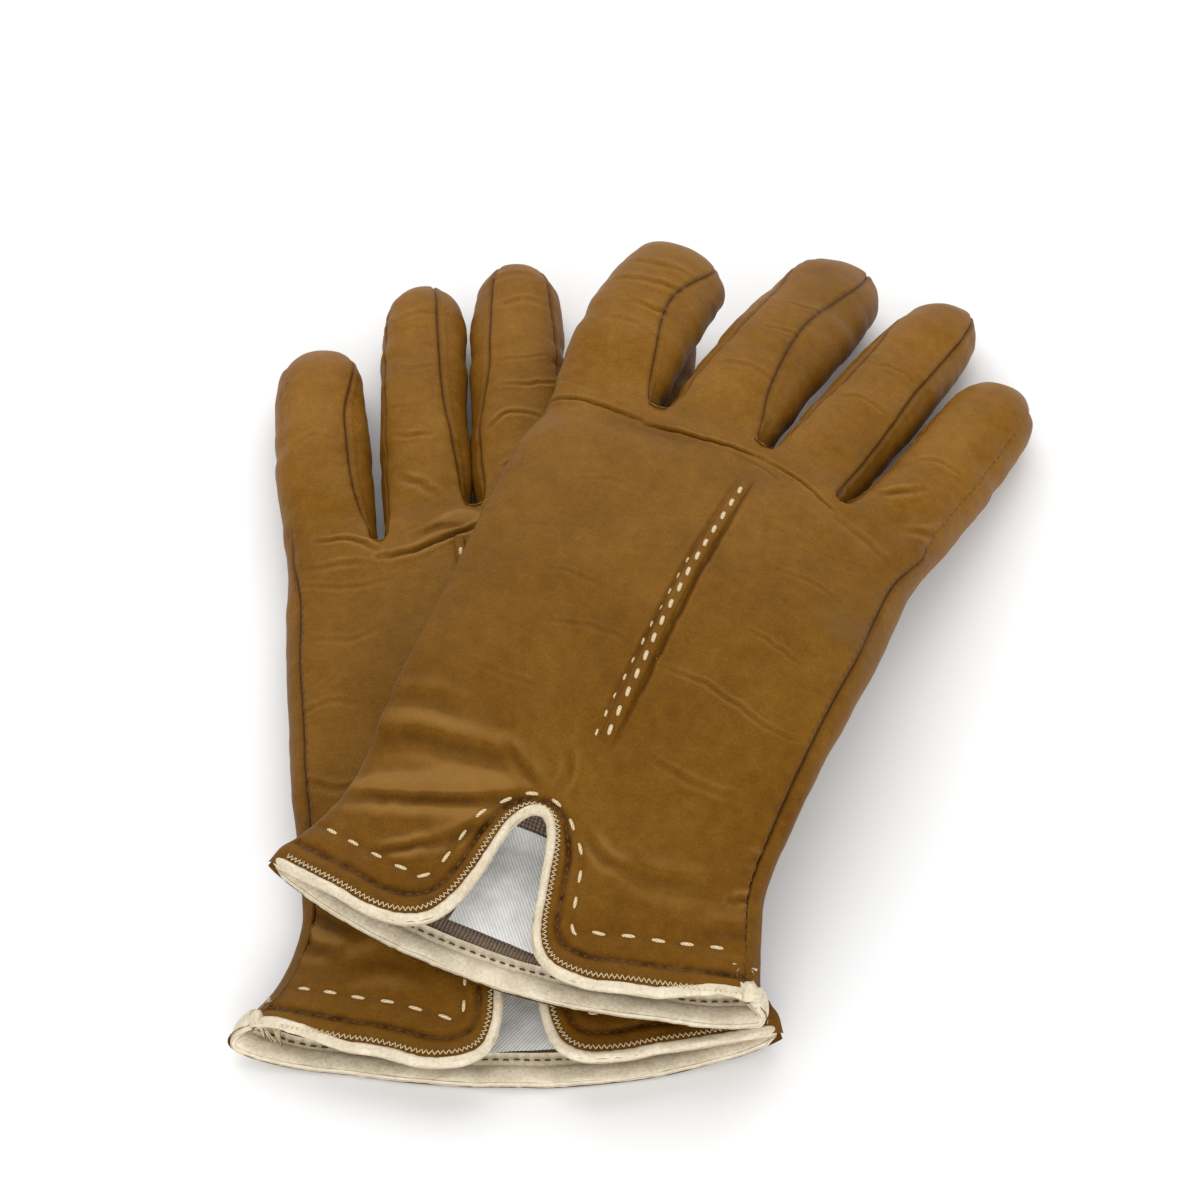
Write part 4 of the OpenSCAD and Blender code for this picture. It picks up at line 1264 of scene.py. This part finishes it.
def make_stitches(g, cloth, tree):
    """Threads: running, machine and zigzag stitches round the cuff, and dotted ones beside the outseam."""
    beside_seam = 0.95
    cream, brown, fine = Bits(), Bits(), Bits()
    cream.stitches(*drape(tree, cuff_line(g, *RUN, ends=2.4)), 2.8, 5.6, 0.37, 0.30, seed=7)
    brown.stitches(*drape(tree, cuff_line(g, *MACHINE, ends=2.0)), 1.25, 1.75, 0.24, 0.22, seed=8)
    inner, up = drape(tree, cuff_line(g, 2.0, 1.95, 1.9, ends=3.0))
    outer, _ = drape(tree, cuff_line(g, 2.95, 2.85, 2.7, ends=3.0))
    s = distances(inner)
    count = int(s[-1] / 0.5)
    zig = []
    for k in range(count):
        a, n = (read_at(s[-1] * k / count, s, v) for v in (inner, up))
        b = outer[np.argmin(np.linalg.norm(outer - a, axis=1))]
        zig.append((a + n * 0.45) if k % 2 else (b + n * 0.16))
    zig = np.array(zig)
    halved = np.concatenate([mix(zig[:-1], zig[1:], f) for f in (0.0, 0.5)], 1).reshape(-1, 3)
    cream.tube(halved, 0.125, (0, 0, 1), sides=5)
    goes_with(g, cream.build(g, f"{SIDE[g]}_cuff_threads", THREAD), "hand", "thread", "cuff_stitches")

    out, up = column_line(cloth, 0, beside_seam)
    brown.stitches(out[4:], up[4:], 1.5, 2.3, 0.24, 0.26, seed=9)
    ids = cloth.ids[1][9][8:-8]         # the palm's stitches, seen on its facing
    brown.stitches(cloth.points[ids] - cloth.nrm[ids] * 1.82, -cloth.nrm[ids], 1.3, 2.1, 0.22, 0.30, seed=10)
    goes_with(g, brown.build(g, f"{SIDE[g]}_seam_threads", BROWN), "hand", "thread")
    little = [grid["owner"] for grid in cloth.grids].index("little")
    out, up = column_line(cloth, little, beside_seam)
    fine.stitches(out[2:-30], up[2:-30], 1.5, 2.3, 0.24, 0.26, seed=12)
    goes_with(g, fine.build(g, f"{SIDE[g]}_little_threads", BROWN), "little", "thread")


def make_tuck(g, tree):
    """The tuck on the back: a narrow raised strip, with rows of cream stitches along it."""
    a, b = (np.array(v) for v in POINT)
    rows, cols, pitch = 150, 13, 4.45
    v, c = np.linspace(0, 1, rows), np.linspace(-1, 1, cols)
    half = mix(1.95, 1.45, v) + 0.05 * np.sin(v * 61)
    mid = a + v[:, None] * (b - a) + np.stack([0.22 * np.sin(v * 7 + 1), 0 * v], 1)
    across = np.stack([mid[:, 0:1] + half[:, None] * c[None], mid[:, 1:2] + 0 * c[None]], -1)
    grid = np.array([drape(tree, xy)[0] for xy in across])
    ends = smooth(v / 0.03)[:, None] * smooth((1 - v) / 0.03)[:, None]
    crown = np.clip(1 - np.abs(c) ** 3.2, 0, 1)[None] * 0.80 * ends
    grid[..., 2] += crown - 0.18 + 0.06 * noise(grid * (1, 1, 0) / (2, 1.6, 1), 81)
    pts = grid.reshape(-1, 3)
    # seam is short at the strip's sides, so they are darkened as at a seam: a dark joint line and painted shade where
    # the strip meets the back; fold 0.12 darkens the whole strip a little
    edge = np.broadcast_to((1 - np.abs(c))[None] * 2.0 + 0.4, (rows, cols)).reshape(-1)
    piece = put(g, f"{SIDE[g]}_tuck", pts, grid_faces(np.arange(rows * cols).reshape(rows, cols)), LEATHER,
                dict(rest=pts, seam=edge, fold=np.full(len(pts), 0.12), worn=np.zeros(len(pts))))
    goes_with(g, piece, "hand", "tan_leather", "point_welt")

    dots = Bits()
    crest = np.rint(np.interp(np.linspace(0.012, 0.988, 120), v, np.arange(rows))).astype(int)
    up = np.broadcast_to(np.array([0, 0, 1.0]), (len(crest), 3))
    dots.stitches(grid[crest, cols // 2], up, 2.25, pitch, 0.46, 0.42, seed=21, skew=-0.12)
    for s, off, lo, hi, length, size, rise in ((-1, 2.25, 0.0, 0.66, 1.8, 0.36, 0.12),
                                               (-1, 2.0, 0.70, 1.0, 1.2, 0.22, 0.02),
                                               (1, 2.2, -0.03, 0.30, 1.2, 0.24, 0.02)):
        q = np.linspace(lo, hi, 80)
        beside = a + q[:, None] * (b - a) + np.stack([s * mix(off, off - 0.55, q), 0 * q], 1)
        dots.stitches(*drape(tree, beside), length, pitch, size, rise, seed=22, skew=-0.1)
    for x, y in ((a[0] + 1.4, a[1] - 3.2), (b[0] + 3.2, b[1] + 0.2)):
        tack = np.stack([np.linspace(x - 0.3, x + 0.5, 9), np.linspace(y, y + 2.4, 9)], 1)
        dots.stitches(*drape(tree, tack), 1.9, 9, 0.42, 0.36, seed=23)
    goes_with(g, dots.build(g, f"{SIDE[g]}_tuck_threads", THREAD), "hand", "thread", "point_stitches")


def make_thumb(g):
    """The thumb's stall, and the skin inside it."""
    pts, faces, rest, seam = thumb_mesh(g, 0.0, 64, 64)
    plain = np.zeros(len(pts))
    piece = put(g, f"{SIDE[g]}_thumb_stall", pts, faces, LEATHER, dict(rest=rest, seam=seam, fold=plain, worn=plain))
    goes_with(g, piece, "thumb", "tan_leather", "thumb_leather")
    pts, faces, rest, _ = thumb_mesh(g, 1.4, 32, 32)
    piece = put(g, f"{SIDE[g]}_thumb_knit", pts, faces, KNIT, dict(rest=rest))
    goes_with(g, piece, "thumb", "knit_lining", "thumb_lining")


LABEL = (19.0, 23.0)                    # the satin label's flat size
LABEL_AT = {RIGHT: (-17.0, 3.4, 2.4), LEFT: (-14.0, -2.6, 0.0)}     # its corner, and how far it leans


def make_label(g, tree):
    """The satin label on the palm's lining, seen through the slit."""
    u, w = np.meshgrid(np.linspace(0, 1, 26), np.linspace(0, 1, 30), indexing="xy")
    x0, y0, lean = LABEL_AT[g]
    x, y = x0 + LABEL[0] * u + lean * w, y0 + LABEL[1] * w
    z = np.zeros_like(x)
    for i in np.ndindex(*x.shape):
        hit, *_ = tree.ray_cast(Vector((x[i], y[i], -40)), Vector((0, 0, 1)))
        z[i] = hit[2] if hit else 0.3
    over_palm = 3.2                     # above the leather's underside, clear of the lining
    z = z + over_palm + 0.35 * np.sin(u * 5 + 1) * np.sin(w * 3.4) \
        + 0.15 * noise(np.stack([x / 5, y / 5, 0 * x], -1), 91)
    flat = np.stack([u * LABEL[0], w * LABEL[1], 0 * u], -1).reshape(-1, 3)
    label = put(g, f"{SIDE[g]}_satin_label", np.stack([x, y, z], -1).reshape(-1, 3),
                grid_faces(np.arange(x.size).reshape(x.shape)), SATIN, dict(rest=flat))
    goes_with(g, label, "hand", "label_satin", "size_label")


def make_glove(g):
    cloth = build_leather(g)
    shape_leather(g, cloth)
    floor_clip(g, cloth)
    cloth.nrm = cloth.normals(cloth.points)
    tree = BVHTree.FromPolygons(cloth.points.tolist(), cloth.quads.tolist())
    make_leather(g, cloth)
    make_linings(g, cloth)
    make_binding(g, cloth)
    make_facing(g, cloth)
    make_stitches(g, cloth, tree)
    make_tuck(g, tree)
    make_thumb(g)
    make_label(g, tree)


for g in (LEFT, RIGHT):
    make_glove(g)


# ---------------------------------------------------------------- floor, light and camera

def studio():
    world = bpy.data.worlds.new("studio")
    bpy.context.scene.world = world
    world.use_nodes = True
    light = world.node_tree.nodes["Background"].inputs
    light["Color"].default_value, light["Strength"].default_value = (1, 1, 1, 1), 0.75
    bpy.ops.mesh.primitive_plane_add(size=6, location=(0, 0, -0.0002))
    floor = bpy.context.object
    floor.name = "floor"
    floor.data.materials.append(floor_material())
    for name, at, size, energy in (("key", (-0.10, 0.80, 0.95), 1.4, 11.0), ("fill", (0.10, -1.15, 0.42), 1.2, 10.0)):
        light = bpy.data.lights.new(name, "AREA")
        light.size, light.energy = size, energy
        o = bpy.data.objects.new(name, light)
        o.location = at
        o.rotation_euler = (Vector((0, 0, 0)) - Vector(at)).to_track_quat("-Z", "Y").to_euler()
        bpy.context.scene.collection.objects.link(o)
    cam = bpy.data.cameras.new("camera")
    cam.sensor_width, cam.sensor_height = 36.0, 36.0
    cam.lens = 82.8
    o = bpy.data.objects.new("camera", cam)
    o.location = (-0.01215, -0.3720, 0.4958)
    o.rotation_euler = (math.radians(38), 0, 0)
    bpy.context.scene.collection.objects.link(o)
    bpy.context.scene.camera = o
    bpy.context.scene.view_settings.view_transform = "Standard"


studio()
